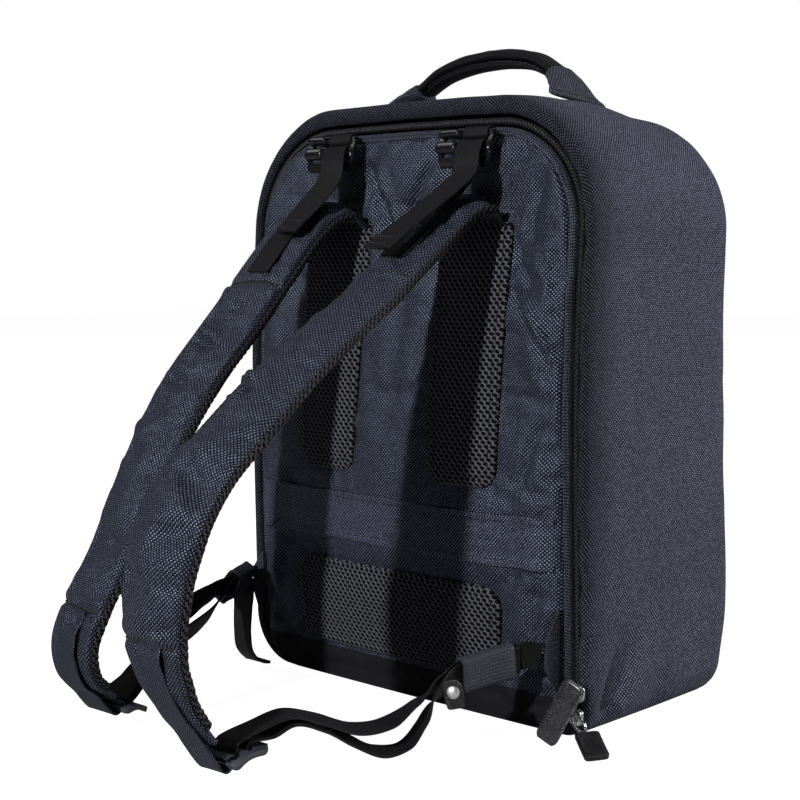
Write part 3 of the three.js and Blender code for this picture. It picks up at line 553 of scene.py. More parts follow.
def mesh_cloth(name, hole_shade, yarn, pitch_u=0.0050, pitch_v=0.0059, bump=0.0006):
    """Spacer mesh: staggered open holes in a knitted lattice."""
    g = Graph(name, Sheen_Weight=0.02, Sheen_Roughness=0.5, Specular_IOR_Level=0.12)
    a, b = g.math("MULTIPLY", g.u, 2 * math.pi / pitch_u), g.math("MULTIPLY", g.v, 2 * math.pi / pitch_v)
    rise = g.math("MULTIPLY", g.math("COSINE", g.math("ADD", a, b)), 1.3)
    drop = g.math("MULTIPLY", g.math("COSINE", g.math("SUBTRACT", a, b)), 0.75)
    f = g.math("ADD", g.math("ADD", rise, drop), g.math("COSINE", g.math("MULTIPLY", b, 2.0)))
    fine = g.math("MULTIPLY", g.math("SINE", g.math("MULTIPLY", g.u, 2 * math.pi / 0.0009)), g.math("SINE", g.math("MULTIPLY", g.v, 2 * math.pi / 0.0011)))
    fuzz = g.noise(600.0, 2.0)
    f2 = g.math("ADD", f, g.math("MULTIPLY_ADD", fuzz, 0.5, -0.25))
    # painted shade: the open holes take a near-black colour, standing in for the shade deep inside them
    open_ = g.span(f2, -0.85, -0.1)
    lit = g.math("ADD", 0.72, g.math("MULTIPLY", fine, 0.28))
    colour = g.mix(open_, g.scale(g.mix(fuzz, yarn, tuple(0.7 * c for c in yarn)), lit), hole_shade)
    h = g.math("SUBTRACT", g.math("MULTIPLY", fine, 0.12), open_)
    return g.finish(colour, 0.85, h, bump)


def plain_cloth(name, base, thread=0.0006, amount=0.25, rough=0.6, bump=0.00006, sheen=0.02):
    """Close smooth cloth with a barely seen weave."""
    g = Graph(name, Sheen_Weight=sheen, Sheen_Roughness=0.4, Specular_IOR_Level=0.15)
    a = g.math("SINE", g.math("MULTIPLY", g.u, 2 * math.pi / thread))
    b = g.math("SINE", g.math("MULTIPLY", g.v, 2 * math.pi / thread))
    h = g.math("MULTIPLY", a, b)
    n = g.noise(60.0, 4.0, 0.6)
    k = g.math("ADD", g.math("MULTIPLY_ADD", h, amount, 0.8), g.math("MULTIPLY_ADD", n, 0.7, -0.3))
    colour = g.scale(g.mix(n, base, tuple(1.15 * c for c in base)), k)
    return g.finish(colour, g.math("MULTIPLY_ADD", n, 0.2, rough - 0.1), g.math("MULTIPLY_ADD", n, 1.2, h), bump)


def moulded(name, base, rough=0.34):
    g = Graph(name, Specular_IOR_Level=0.5)
    n = g.noise(900.0, 3.0, 0.6)
    s = g.noise(40.0, 3.0, 0.6)
    colour = g.mix(s, tuple(0.85 * c for c in base), tuple(1.2 * c for c in base))
    return g.finish(colour, g.math("MULTIPLY_ADD", s, 0.16, rough - 0.08), g.math("ADD", n, g.math("MULTIPLY", s, 0.6)), 0.00006)


def hide(name, base, pebble, depth, rough=0.42, spec=0.5, coat=0.12, valley=0.45, edge=0.22):
    g = Graph(name, Specular_IOR_Level=spec, Coat_Weight=coat, Coat_Roughness=0.24)
    d = g.voronoi(1.0 / pebble, feature="DISTANCE_TO_EDGE")
    d2 = g.voronoi(2.3 / pebble, feature="DISTANCE_TO_EDGE")
    n = g.noise(130.0, 3.0)
    grain = g.math("ADD", g.span(d, 0.0, edge), g.math("MULTIPLY", g.span(d2, 0.0, 0.2), 0.35))
    colour = g.scale(g.mix(g.span(grain, 0.2, 1.2), tuple(valley * c for c in base), base), g.math("MULTIPLY_ADD", n, 0.6, 0.7))
    return g.finish(colour, g.math("MULTIPLY_ADD", n, 0.2, rough - 0.1), grain, depth)


def metal(name, base, rough=0.14):
    g = Graph(name, Metallic=1.0)
    n = g.noise(220.0, 4.0, 0.65)
    s = g.noise(30.0, 3.0)
    colour = g.mix(s, tuple(0.82 * c for c in base), base)
    return g.finish(colour, g.math("MULTIPLY_ADD", n, 0.16, rough - 0.06), n, 0.00002)


def yarn(name, base):
    g = Graph(name, Sheen_Weight=0.1, Specular_IOR_Level=0.3)
    n = g.noise(1800.0, 3.0)
    return g.finish(g.mix(n, tuple(0.6 * c for c in base), tuple(1.3 * c for c in base)), g.math("MULTIPLY_ADD", n, 0.2, 0.5), n, 0.00005)


GAP_C = (0.0012, 0.0012, 0.0016)
M_PANEL = weave("canvas_panel", 0.0013, (0.060, 0.0642, 0.106), (0.0068, 0.0073, 0.0118), GAP_C, bump=0.00024, vary=0.3)
M_STRAP = weave("canvas_strap", 0.0013, (0.060, 0.0642, 0.106), (0.0068, 0.0073, 0.0118), GAP_C, bump=0.00024, vary=0.3)
# the shell's cloth carries painted shade along its rim (rim=True)
M_SHELL = weave("canvas_shell", 0.0013, (0.198, 0.198, 0.292), (0.0225, 0.0226, 0.0332), (0.0035, 0.0035, 0.005), bump=0.0003, slow=0.18, vary=0.36, rim=True, shine=0.17, shine_rough=0.62)
M_FAN = weave("canvas_fan", 0.0012, (0.120, 0.122, 0.165), (0.026, 0.0265, 0.036), (0.004, 0.004, 0.0055), bump=0.00025, vary=0.3, shine=0.2)
M_BAND = weave("canvas_band", 0.0013, (0.104, 0.110, 0.174), (0.0125, 0.0133, 0.0206), GAP_C, bump=0.00024, vary=0.3)
M_SMOOTH = plain_cloth("smooth_base", (0.0085, 0.0085, 0.0125))
M_GUSSET = weave("canvas_edge", 0.0010, (0.104, 0.108, 0.155), (0.014, 0.0145, 0.020), GAP_C, bump=0.0002, shine=0.9)
M_HANDLE = plain_cloth("handle_cloth", (0.0075, 0.0075, 0.010), thread=0.001, amount=0.4, rough=0.46, bump=0.00014)
# the first colour of each mesh is painted shade for its holes
M_MESH = mesh_cloth("spacer_mesh", (0.0010, 0.0010, 0.0012), (0.158, 0.159, 0.195))
M_LINING = mesh_cloth("strap_mesh", (0.0010, 0.0010, 0.0012), (0.084, 0.085, 0.104), pitch_u=0.0034, pitch_v=0.0046, bump=0.0005)
M_WEB = ribbed("webbing", (0.0025, 0.0025, 0.003), (0.0105, 0.0105, 0.0125))
M_TAILWEB = weave("webbing_tail", 0.00095, (0.052, 0.0555, 0.090), (0.0095, 0.0101, 0.0162), GAP_C, bump=0.0002, slow=0.3, vary=0.25, shine=0.85, shine_rough=0.46)
M_TAB = ribbed("webbing_tab", (0.006, 0.0062, 0.009), (0.042, 0.0435, 0.066), pitch=0.0016, bump=0.0003, spec=0.35)
M_ELASTIC = ribbed("elastic", (0.006, 0.0062, 0.009), (0.048, 0.050, 0.077), pitch=0.0013, bump=0.0003, spec=0.4)
M_TAPE = ribbed("zip_tape", (0.0015, 0.0015, 0.002), (0.006, 0.006, 0.0075), pitch=0.0009)
M_COIL = moulded("zip_coil", (0.012, 0.012, 0.015), 0.4)
M_PLASTIC = moulded("buckle_plastic", (0.007, 0.007, 0.009), 0.22)
# painted sheen: the locks' plastic is a lighter grey than the black buckle plastic, standing in for the sheen on their
# satin faces
M_LOCK_SHEEN = moulded("lock_plastic", (0.046, 0.046, 0.061), 0.32)
# painted highlight: on black leather the pebble tops are coloured light grey, standing in for glints on the grain
M_PEBBLE_GLINTS = hide("leather_pebbled", (0.190, 0.190, 0.236), 0.0013, 0.0012, rough=0.24, spec=1.0, coat=0.8, valley=0.02, edge=0.42)
M_LEATHER = hide("leather_smooth", (0.006, 0.006, 0.007), 0.0007, 0.00006, rough=0.26, spec=0.4)
M_NICKEL = metal("nickel", (0.78, 0.78, 0.80))
M_RIVET = metal("nickel_rivet", (0.93, 0.93, 0.94), 0.4)
M_THREAD = yarn("thread", (0.030, 0.031, 0.040))
M_THREAD_DARK = yarn("thread_dark", (0.007, 0.007, 0.010))


# ---------------------------------------------------------------- bag outline
def settle(z):
    return SLUMP["x"] * (1 - smooth(0, SLUMP["z"], z))


def lean(z, y=0.0):
    y = np.asarray(y, float)
    return TOP_LEAN["reach"] * smooth(TOP_LEAN["z0"], TOP_LEAN["z1"], z) * (1 - y / BAG["depth"]) - SLUMP["front"] * (z / BAG["top"] - 0.5) * (y / BAG["depth"]) ** 2


def radii(inset):
    s, t, b = inset
    return max(10, BAG["top_r"] - (s + t) / 2), max(8, BAG["base_r"] - (s + b) / 2), max(8, BAG["base_l"] - (s + b) / 2)


def crown(x, z, top):
    return BAG["crown"] * (1 - (x / BAG["half"]) ** 2) * smooth(250, top, z)


def outline(inset, fine=4):
    """Rounded outline from the lower right corner round by the top: x, z and the outward direction."""
    s, t, b = inset
    w, zt, zb = BAG["half"] - s, BAG["top"] - t, b
    rt, rr, rl = radii(inset)
    pts, nrm = [], []

    def arc(cx, cz, r, start, steps):
        for i in range(steps + 1):
            a = math.radians(start + 90 * i / steps)
            pts.append((cx + r * math.cos(a), cz + r * math.sin(a)))
            nrm.append((math.cos(a), math.sin(a)))

    def run(x0, z0, x1, z1, steps, n):
        for i in range(1, steps):
            pts.append((x0 + (x1 - x0) * i / steps, z0 + (z1 - z0) * i / steps))
            nrm.append(n)

    arc(w - rr, zb + rr, rr, 270, 6 * fine // 2)
    run(w, zb + rr, w, zt - rt, 8 * fine, (1, 0))
    arc(w - rt, zt - rt, rt, 0, 8 * fine)
    run(w - rt, zt, rt - w, zt, 6 * fine, (0, 1))
    arc(rt - w, zt - rt, rt, 90, 8 * fine)
    run(-w, zt - rt, -w, zb + rl, 8 * fine, (-1, 0))
    arc(rl - w, zb + rl, rl, 180, 6 * fine // 2)
    run(rl - w, zb, w - rr, zb, 6 * fine, (0, -1))
    p, n = np.array(pts), np.array(nrm)
    x, z = p[:, 0] + settle(p[:, 1]), p[:, 1] + crown(p[:, 0], p[:, 1], zt)
    return x, z, n[:, 0], n[:, 1]


def side_span(inset, z):
    """Left and right ends of the outline's row at a height, before the crown."""
    s, t, b = inset
    w, zt, zb = BAG["half"] - s, BAG["top"] - t, b
    rt, rr, rl = radii(inset)
    up = np.maximum(0, z - (zt - rt))
    cut_t = rt - np.sqrt(np.maximum(0, rt * rt - up * up))
    cut = lambda r: r - np.sqrt(np.maximum(0, r * r - np.maximum(0, zb + r - z) ** 2))
    return -w + cut_t + cut(rl), w - cut_t - cut(rr)


# ---------------------------------------------------------------- shell of the bag
SIDE_FOLDS = [(26.3, 14.1, 57.8, 53.8, 9.2, 4.8), (83.4, 9.6, 95.5, 26.9, 6.5, 2.4)]


def tuck(depth, z):
    """The front draws in towards the base."""
    return 11 * (1 - smooth(0, 82, z)) ** 1.3 * smooth(95, 190, depth)


def shell():
    nose = lambda d: (d, d + 7, d * 0.72)
    r = BAG["front_r"]
    keys = [((8, 13, 8), 3.4), (RIM, 1.6), ((7.2, 11.8, 7.4), -0.4), ((5.4, 8.8, 5.4), -1.6), ((3.4, 5.4, 3.2), -1.5), ((1.7, 2.6, 1.4), -0.5), ((0.5, 0.7, 0.4), 1.6), ((0, 0, 0), 5)]
    for i in range(1, 21):
        y = 5 + (80 - 5) * i / 20
        keys.append(((-1.0 * smooth(5, 80, y), 0, 0), float(y)))
    for i in range(1, 9):
        f = i / 8
        y = 80 + (BAG["depth"] - r - 80) * f
        keys.append(((-1 + smooth(80, 154, y), 7 * smooth(0, 1, f), 0), float(y)))
    for deg in np.linspace(9, 90, 10):
        a = math.radians(deg)
        keys.append((nose(r * (1 - math.cos(a))), BAG["depth"] - r + r * math.sin(a)))
    for i in range(1, 9):
        d = r + (118 - r) * i / 8
        y = BAG["depth"] + 2.5 * math.sin(i / 8 * math.pi / 2)
        keys.append(((d, d + 7 * (1 - i / 8), d * 0.72 + (118 - 118 * 0.72) * (i / 8) * 0.9), y))
    rings, uvs = [], []
    for inset, y in keys:
        x, z, nx, nz = outline(inset)
        yy = REAR_Y + y + lean(z, np.maximum(0, y))
        rings.append(np.stack([x, yy, z], 1))
    p = np.array(rings)
    q = finer(p, wrap_j=True, times=0)
    x, y, z = q[..., 0], q[..., 1], q[..., 2]
    _, _, nx, nz = outline((0, 0, 0))
    depth = y - REAR_Y
    # soft sag and folds, which die out at the rim and at the flat base
    far = smooth(4, 22, depth) * smooth(0, 22, z)
    lie = np.cumsum(np.concatenate([[0], np.hypot(np.diff(x[8]), np.diff(z[8]))]))[None] * np.ones_like(x)
    d = 1.5 * noise(lie / 95, depth / 70, 3) + 0.9 * noise(lie / 45 + depth / 80, depth / 38, 4) + 0.35 * noise(lie / 17 + depth / 30, depth / 21, 5)
    # drawn folds that rise from the zip's lower end
    for y0, z0, y1, z1, wide, deep in SIDE_FOLDS:
        run = math.hypot(y1 - y0, z1 - z0)
        ey, ez = (y1 - y0) / run, (z1 - z0) / run
        along = ((depth - y0) * ey + (z - z0) * ez) / run
        c = ((depth - y0) * ez - (z - z0) * ey) / (wide * (1 + 0.5 * np.clip(along, 0, 1.4)))
        reach = smooth(-0.5, 0.05, along) * (1 - smooth(0.55, 1.4, along)) * (x > 0)
        d += deep * reach * (np.exp(-((c - 1) ** 2)) - np.exp(-((c + 1) ** 2)))
    mid = np.exp(-((z - 215) / 120) ** 2) * np.exp(-((depth - 105) / 60) ** 2)
    d -= 2.2 * mid
    cap = 1 - smooth(BAG["depth"] - 22, BAG["depth"] - 2, depth)
    q = q.copy()
    # the soft rim is gathered by its seam
    roll = (1 - smooth(3, 14, depth)) * smooth(6, 30, z)
    dent = 1.5 * noise(lie / 15, 0.5, 7) + 0.9 * noise(lie / 6.5, 0.5, 8)
    q[..., 1] += roll * dent * np.array([0, 0.5, 1, 1, 0.7, 0.4, 0.2] + [0] * (len(q) - 7))[:, None]
    q[..., 0] += nx[None] * roll * 0.5 * dent
    q[..., 2] += np.maximum(nz[None], 0) * roll * 0.5 * dent
    q[..., 0] += nx[None] * d * far * cap
    q[..., 2] += np.maximum(nz[None], 0) * d * far * cap
    q[..., 1] += (1 - cap) * 1.6 * noise(x / 60, z / 55, 6) * smooth(10, 40, z)
    q[..., 1] -= tuck(depth, z)
    # a sewn edge round the front
    seam = np.exp(-(((np.arange(len(q)) - 41.0) / 0.55) ** 2))[:, None]
    q[..., 0] -= nx[None] * 1.0 * seam * (z > 6)
    q[..., 2] -= np.maximum(nz[None], 0) * 1.0 * seam
    q[..., 2] = np.maximum(q[..., 2], 0.0)
    piece = Piece()
    ring_l = lengths(np.concatenate([q, q[:, :1]], 1), 1)[8]
    uv = np.stack([np.broadcast_to(ring_l[None], (len(q), len(ring_l))), np.concatenate([lengths(q, 0), lengths(q, 0)[:, :1]], 1)], -1)
    # the shade along the rim grows narrow towards the base
    uv[..., 1] += 15 * (1 - smooth(30, 200, np.concatenate([z, z[:, :1]], 1)))
    piece.grid(q[:42], uv=uv[:42], wrap_j=True)
    # the front is a flat cut of cloth inside that edge
    mid = q[-1].mean(0)
    front = np.concatenate([q[41:], [mid + (q[-1] - mid) * f for f in np.linspace(1, 0.01, 16)[1:]]])
    flat = np.concatenate([front, front[:, :1]], 1)
    idx = piece.grid(front, uv=np.stack([flat[..., 0], flat[..., 2] + 1000], -1), wrap_j=True)
    piece.fan(idx[-1])
    inner = []
    for inset, y in [((8, 13, 8), 3.4), ((4.2, 4.4, 4.2), 5.4), ((3, 3, 3), 10), ((2, 3, 3), 80), (tuple(c + 3 for c in nose(0)), BAG["depth"] - r)]:
        x, z, *_ = outline(inset)
        inner.append(np.stack([x, REAR_Y + y + lean(z, y) - tuck(y, z), z], 1))
    for deg in (30, 60, 90):
        a = math.radians(deg)
        x, z, *_ = outline(tuple(c + 3 for c in nose((r - 3) * (1 - math.cos(a)))))
        y = BAG["depth"] - r + (r - 3) * math.sin(a)
        inner.append(np.stack([x, REAR_Y + y + lean(z, y) - tuck(y, z), z], 1))
    inner = np.array(inner)
    inner[0] = q[0]
    jdx = piece.grid(inner, wrap_j=True)
    piece.fan(jdx[-1])
    return piece.make("bag_shell", M_SHELL, nodes=["main_shell"], slot="canvas")


# ---------------------------------------------------------------- panel and what is sewn on it
def panel_face(x, z):
    edge = 1 - np.minimum(1, np.abs(x) / 150) ** 2.2
    bulge = 12 * np.exp(-(((z - 150) / 115) ** 2)) - 3 * np.exp(-(((z - 352) / 55) ** 2))
    return REAR_Y + lean(z) - 2 - bulge * edge


FX, FZ, _, _ = outline(FACE, 6)


def edge_distance(x, z):
    a = np.stack([FX, FZ], 1)
    b = np.roll(a, -1, 0)
    p = np.stack([np.ravel(x), np.ravel(z)], 1)
    best = np.full(len(p), 1e9)
    for s, e in zip(a, b):
        d = e - s
        t = np.clip(((p - s) @ d) / max(d @ d, 1e-12), 0, 1)
        best = np.minimum(best, np.hypot(*(p - s - t[:, None] * d).T))
    return best.reshape(np.shape(x))


def puff(x, z, d):
    """How far the padding stands out beyond the plain face, near the sides and the top."""
    out = 4.0 * smooth(104, 132, np.abs(x)) * smooth(14, 40, z) + 3.0 * smooth(354, 378, z) * (1 - smooth(104, 132, np.abs(x)))
    return np.minimum(out, 4.5) * (1 - np.exp(-d / 4.5))


def face_out(x, z):
    x, z = np.asarray(x, float), np.asarray(z, float)
    return panel_face(x, z) - puff(x, z, edge_distance(x, z))


def rounded_rows(zs, z0, z1, half0, half1, r0, r1):
    """Half width of a rounded outline at each height."""
    half = half0 + (half1 - half0) * (zs - z0) / (z1 - z0)
    d0, d1 = np.maximum(0, z0 + r0 - zs), np.maximum(0, zs - (z1 - r1))
    return half - (r0 - np.sqrt(np.maximum(0, r0 * r0 - d0 * d0))) - (r1 - np.sqrt(np.maximum(0, r1 * r1 - d1 * d1)))


def inside(x, z, z0, z1, half0, half1, r0, r1, cx=0.0, grow=0.0):
    h = rounded_rows(np.clip(z, z0, z1), z0, z1, half0, half1, r0, r1)
    return (np.abs(x - cx) <= h + grow) & (z >= z0 - grow) & (z <= z1 + grow)


CHANNEL_SHAPE = (CHANNEL["z0"], CHANNEL["z1"], CHANNEL["base"], CHANNEL["top"], 13, 10)
LUMBAR_SHAPE = (LUMBAR["z0"], LUMBAR["z1"], LUMBAR["half"] - 4, LUMBAR["half"], 12, 16)


# Soft folds of the panel's cloth: x at mid height, slant, lowest and highest z, half width, depth (below zero stands out)
PANEL_FOLDS = [
    (-22, -0.55, 318, 388, 5, 2.4),
    (-9, -0.5, 312, 384, 6, -2.0),
    (4, 0.6, 320, 386, 5, 2.4),
    (17, 0.5, 318, 384, 6, -1.8),
    (-34, -0.35, 300, 370, 6, -1.4),
    (0, 0.05, 190, 300, 9, 1.0),
    (122, -0.75, 246, 296, 4, 2.6),
    (130, -0.75, 240, 292, 6, -2.2),
    (112, -0.6, 290, 330, 5, 1.6),
    (124, 0.35, 168, 214, 5, 1.8),
    (118, 0.25, 330, 372, 6, 1.6),
    (-122, 0.5, 200, 270, 7, 1.6),
    (-118, -0.4, 290, 350, 7, 1.4),
    (126, 0.1, 50, 100, 6, 1.6),
    (112, -0.3, 96, 112, 5, 1.2),
    (-120, 0.3, 60, 108, 6, 1.4),
]


def panel():
    s, t, b = FACE
    w, zt, zb = BAG["half"] - s, BAG["top"] - t, b
    rt, rr, _ = radii(FACE)
    ang = np.linspace(0, math.pi / 2, 5)
    low = zb + rr * (1 - np.cos(np.linspace(0, math.pi / 2, 7)))
    up = zt - rt + rt * np.sin(np.linspace(0, math.pi / 2, 22))
    zs = np.concatenate([low, np.linspace(zb + rr, zt - rt, 66)[1:-1], up])
    xl, xr = side_span(FACE, zs)
    u = np.linspace(0, 1, 64)
    x = xl[:, None] + (xr - xl)[:, None] * u[None]
    z = zs[:, None] * np.ones_like(x)
    rise = crown(x, z, zt)
    x, z = x + settle(z), z + rise
    d = edge_distance(x, z)
    y = panel_face(x, z) - puff(x, z, d) + 2.6 * (1 - smooth(0, 7, z)) ** 2
    p = np.stack([x, y, z], -1)
    hold = (d < 1.0) | (z < 14)
    hold[[0, -1]] = hold[:, [0, -1]] = True
    hold |= np.abs(z - BASE_SEAM_Z) < 2.6
    hold |= inside(x, z, *LUMBAR_SHAPE, grow=1.5)
    for cx in (-66, 66):
        hold |= inside(x, z, *CHANNEL_SHAPE, cx=cx, grow=1.5)
        hold |= (np.abs(x - cx) < 31) & (z > 340) & (z < 358)
        hold |= (np.abs(x - cx) < 13) & (z > 393)
    hold |= (np.abs(z - BAND["z0"] - 3) < 2.5) & (np.abs(x) > 128) | (np.abs(z - BAND["z1"] + 3) < 2.5) & (np.abs(x) > 128)
    p = swell(p, hold, pressure=5.0, slack=0.03, cap=4.0, frames=22, bend=0.25)
    p = finer(p)
    x, z = p[..., 0], p[..., 2]
    d = edge_distance(x, z)
    free = smooth(1, 12, d) * smooth(BASE_SEAM_Z, BASE_SEAM_Z + 12, z)
    for cx in (-66, 66):
        free = free * (1 - inside(x, z, *CHANNEL_SHAPE, cx=cx, grow=0))
    free = free * (1 - inside(x, z, *LUMBAR_SHAPE, grow=0)) * (1 - ((z > BAND["z0"]) & (z < BAND["z1"])))
    # soft creases: upright ones between the buckles and slanting ones by the right-hand edge
    crease = 0.8 * noise(x / 26, z / 60, 11) + 0.5 * noise(x / 12 + z / 40, z / 34, 12)
    for cx, slope, z0, z1, wide, deep in PANEL_FOLDS:
        mid = (z0 + z1) / 2
        t = (x - cx - slope * (z - mid)) / (wide * math.hypot(1, slope))
        crease += 2.3 * deep * np.exp(-(t**2)) * smooth(z0 - 8, z0 + 12, z) * (1 - smooth(z1 - 12, z1 + 8, z))
    p[..., 1] += crease * free
    # the sewn line over the smooth base strip
    p[..., 1] += 1.3 * np.exp(-(((z - BASE_SEAM_Z) / 1.6) ** 2)) * smooth(0, 6, d)
    piece = Piece()
    zc = z[:-1] * 0.5 + z[1:] * 0.5
    m = np.zeros(z.shape, int)
    m[:-1] = zc < BASE_SEAM_Z
    idx = piece.grid(p, uv=np.stack([x, z], -1), m=m)
    loop = border(idx)
    edge = piece.points()[loop]
    back = edge.copy()
    back[:, 1] = REAR_Y + 5.5 + lean(back[:, 2])
    loop = piece.strip_between(loop, back)
    piece.fan(loop)
    o = piece.make("panel_face", M_PANEL, M_SMOOTH, nodes=["back_panel"], slot="canvas_back")
    return o


def zip_path(inset, fine=6):
    """The stretch of outline that the zip follows, from the lower right corner over the top to the lower left."""
    x, z, nx, nz = outline(inset, fine)
    n = len(x)
    a0 = 6 * fine // 2
    start, stop = a0 - 4, n - (6 * fine) - a0 + 2
    return x[start:stop], z[start:stop], nx[start:stop], nz[start:stop]


def gusset():
    """The padded side wall of the panel, from the seam of its face out to the zip."""
    END = (13.8, 21.8, 11.4)
    prof = []
    for k, a in enumerate(np.linspace(0, math.pi / 2, 33)):
        q = math.sin(a)
        ridge = 0.5 - 0.5 * math.cos(6 * math.pi * min(1.0, max(0.0, (q - 0.2) / 0.78)))
        prof.append((q, 1 - math.cos(a), 0.75 * ridge))
    rows = []
    for q, h, ridge in prof:
        inset = tuple(f + (e - f) * q for f, e in zip(FACE, END))
        x, z, *_ = zip_path(inset)
        fx, fz, *_ = zip_path(FACE)
        y0 = panel_face(fx, fz) - 1.0
        y1 = REAR_Y + lean(z) + 1.2
        y = y0 + (y1 - y0) * h - ridge
        rows.append(np.stack([x, y, z], 1))
    rows.insert(0, rows[0] + np.array([0, 2.2, 0]))
    back = [r + np.array([0, 1.4, 0]) for r in (rows[-1],)]
    for q in (0.5, 0.0):
        inset = tuple(f + (e - f) * q for f, e in zip(FACE, END))
        x, z, *_ = zip_path(inset)
        back.append(np.stack([x, REAR_Y + lean(z) + 2.6, z], 1))
    p = np.array(rows + back).transpose(1, 0, 2)
    run = lengths(p[:, 4], 0)
    p[..., 1] += (0.5 * noise(run / 40, 0, 21) + 0.25 * noise(run / 14, 0, 22))[:, None] * np.concatenate([[0, 0.2], np.ones(p.shape[1] - 5), [0, 0, 0]])[None]
    piece = Piece()
    idx = piece.grid(p, wrap_j=True)
    piece.fan(idx[0])
    piece.fan(idx[-1])
    return piece.make("panel_side", M_GUSSET, slot="canvas_back")


def zipper():
    x, z, nx, nz = zip_path(ZIP)
    y = REAR_Y + lean(z)
    c = np.stack([x, y, z], 1)
    n = np.stack([nx, 0 * nx, nz], 1)
    prof = np.array([(-2.6, 3.2), (2.6, 3.2), (2.6, 2.2), (1.2, 2.0), (-1.2, 2.0), (-2.6, 2.2)])
    p = c[:, None] + n[:, None] * prof[None, :, :1] + np.array([0, 1, 0]) * prof[None, :, 1:]
    piece = Piece()
    idx = piece.grid(p, wrap_j=True)
    piece.fan(idx[0])
    piece.fan(idx[-1])
    # coil: small rounded teeth set alternately to each side
    run = lengths(c, 0)
    pitch = 1.35
    for i in range(int(run[-1] // pitch)):
        s = i * pitch + 0.6
        at = np.array([np.interp(s, run, c[:, k]) for k in range(3)])
        out = unit(np.array([np.interp(s, run, n[:, k]) for k in range(3)]))
        al = unit(np.cross(out, [0, 1, 0]))
        k = 1 if i % 2 else -1
        ts = np.array([-1.7, -1.5, 0, 1.5, 1.7])
        rs = np.array([0.25, 0.85, 1, 0.85, 0.25]) * 0.72
        ang = np.arange(6) * math.pi / 3
        q = (at + out * 0.55 * k + np.array([0, 1.55, 0]))[None, None] + ts[:, None, None] * out + rs[:, None, None] * (np.cos(ang)[None, :, None] * al * 0.9 + np.sin(ang)[None, :, None] * np.array([0, 1.25, 0]))
        j = piece.grid(q, wrap_j=True, m=1)
        piece.f += [j[0].tolist(), j[-1][::-1].tolist()]
        piece.uv += [np.zeros((6, 2)), np.zeros((6, 2))]
        piece.m += [1, 1]
    return piece.make("zip_run", M_TAPE, M_COIL, nodes=["zip_tape"], slot="zip", weld=False)


def lattice(u, v, pu=5.0, pv=5.9):
    """0 on the net of yarn, 1 in the six-sided holes."""
    a, b = 2 * math.pi * u / pu, 2 * math.pi * v / pv
    return smooth(-0.9, 0.3, 1.3 * np.cos(a + b) + 0.75 * np.cos(a - b) + np.cos(2 * b))


def mesh_pad(name, node, shape, thick, cx=0.0, step=0.75, crown_by=1.2):
    """A pad of spacer mesh sewn on the panel, with open holes pressed into it."""
    z0, z1, h0, h1, r0, r1 = shape
    k = 9
    arc0 = z0 + r0 * (1 - np.cos(np.linspace(0, math.pi / 2, k)))
    arc1 = z1 - r1 * (1 - np.cos(np.linspace(math.pi / 2, 0, k)))
    flat = np.linspace(z0 + r0, z1 - r1, int((z1 - z0 - r0 - r1) / step) + 1)[1:-1]
    fill_in = lambda a: np.concatenate([np.linspace(p, q, max(1, int(abs(q - p) / step)), endpoint=False) for p, q in zip(a[:-1], a[1:])])
    zs = np.concatenate([fill_in(arc0), arc0[-1:], flat, fill_in(arc1), arc1[-1:]])
    half = rounded_rows(zs, *shape)
    cols = int(2 * max(h0, h1) / step)
    u = np.linspace(-1, 1, cols + 1)
    x = cx + half[:, None] * u[None]
    z = zs[:, None] * np.ones_like(x)
    # distance to the edge of the pad
    ox = np.concatenate([cx + half, (cx - half)[::-1]])
    oz = np.concatenate([zs, zs[::-1]])
    a = np.stack([ox, oz], 1)[::3]
    pts = np.stack([x.ravel(), z.ravel()], 1)
    d = np.full(len(pts), 1e9)
    for s_, e_ in zip(a, np.roll(a, -1, 0)):
        v = e_ - s_
        t = np.clip(((pts - s_) @ v) / max(v @ v, 1e-12), 0, 1)
        d = np.minimum(d, np.hypot(*(pts - s_ - t[:, None] * v).T))
    d = d.reshape(x.shape)
    roll = np.clip(d / 5.5, 0, 1)
    h = (thick + 0.6) * np.sqrt(1 - (1 - roll) ** 2) + crown_by * smooth(3, 26, d)
    h += 0.35 * noise(x / 22, z / 26, 31) * smooth(2, 10, d)
    h -= 0.9 * np.exp(-(((d - 6.0) / 1.1) ** 2))  # sewn line inside the edge
    h -= 1.2 * lattice(x - cx, z) * smooth(0.5, 2.0, d)
    y = face_out(x, z) - GAP - h
    p = np.stack([x, y, z], -1)
    piece = Piece()
    idx = piece.grid(p, uv=np.stack([x - cx, z], -1))
    loop = border(idx)
    piece.fan(loop, at=np.array([cx, face_out(np.array([cx]), np.array([(z0 + z1) / 2]))[0] - 0.1, (z0 + z1) / 2]))
    o = piece.make(name, M_MESH, nodes=[node], slot="spacer_mesh")
    ins = 6.0
    hs = np.maximum(half - ins, 1)
    ok = (zs > z0 + ins) & (zs < z1 - ins)
    ring_x = np.concatenate([cx + hs[ok], (cx - hs[ok])[::-1]])
    ring_z = np.concatenate([zs[ok], zs[ok][::-1]])
    ring_y = face_out(ring_x, ring_z) - GAP - thick - 0.25
    return o, np.stack([ring_x, ring_y, ring_z], 1)


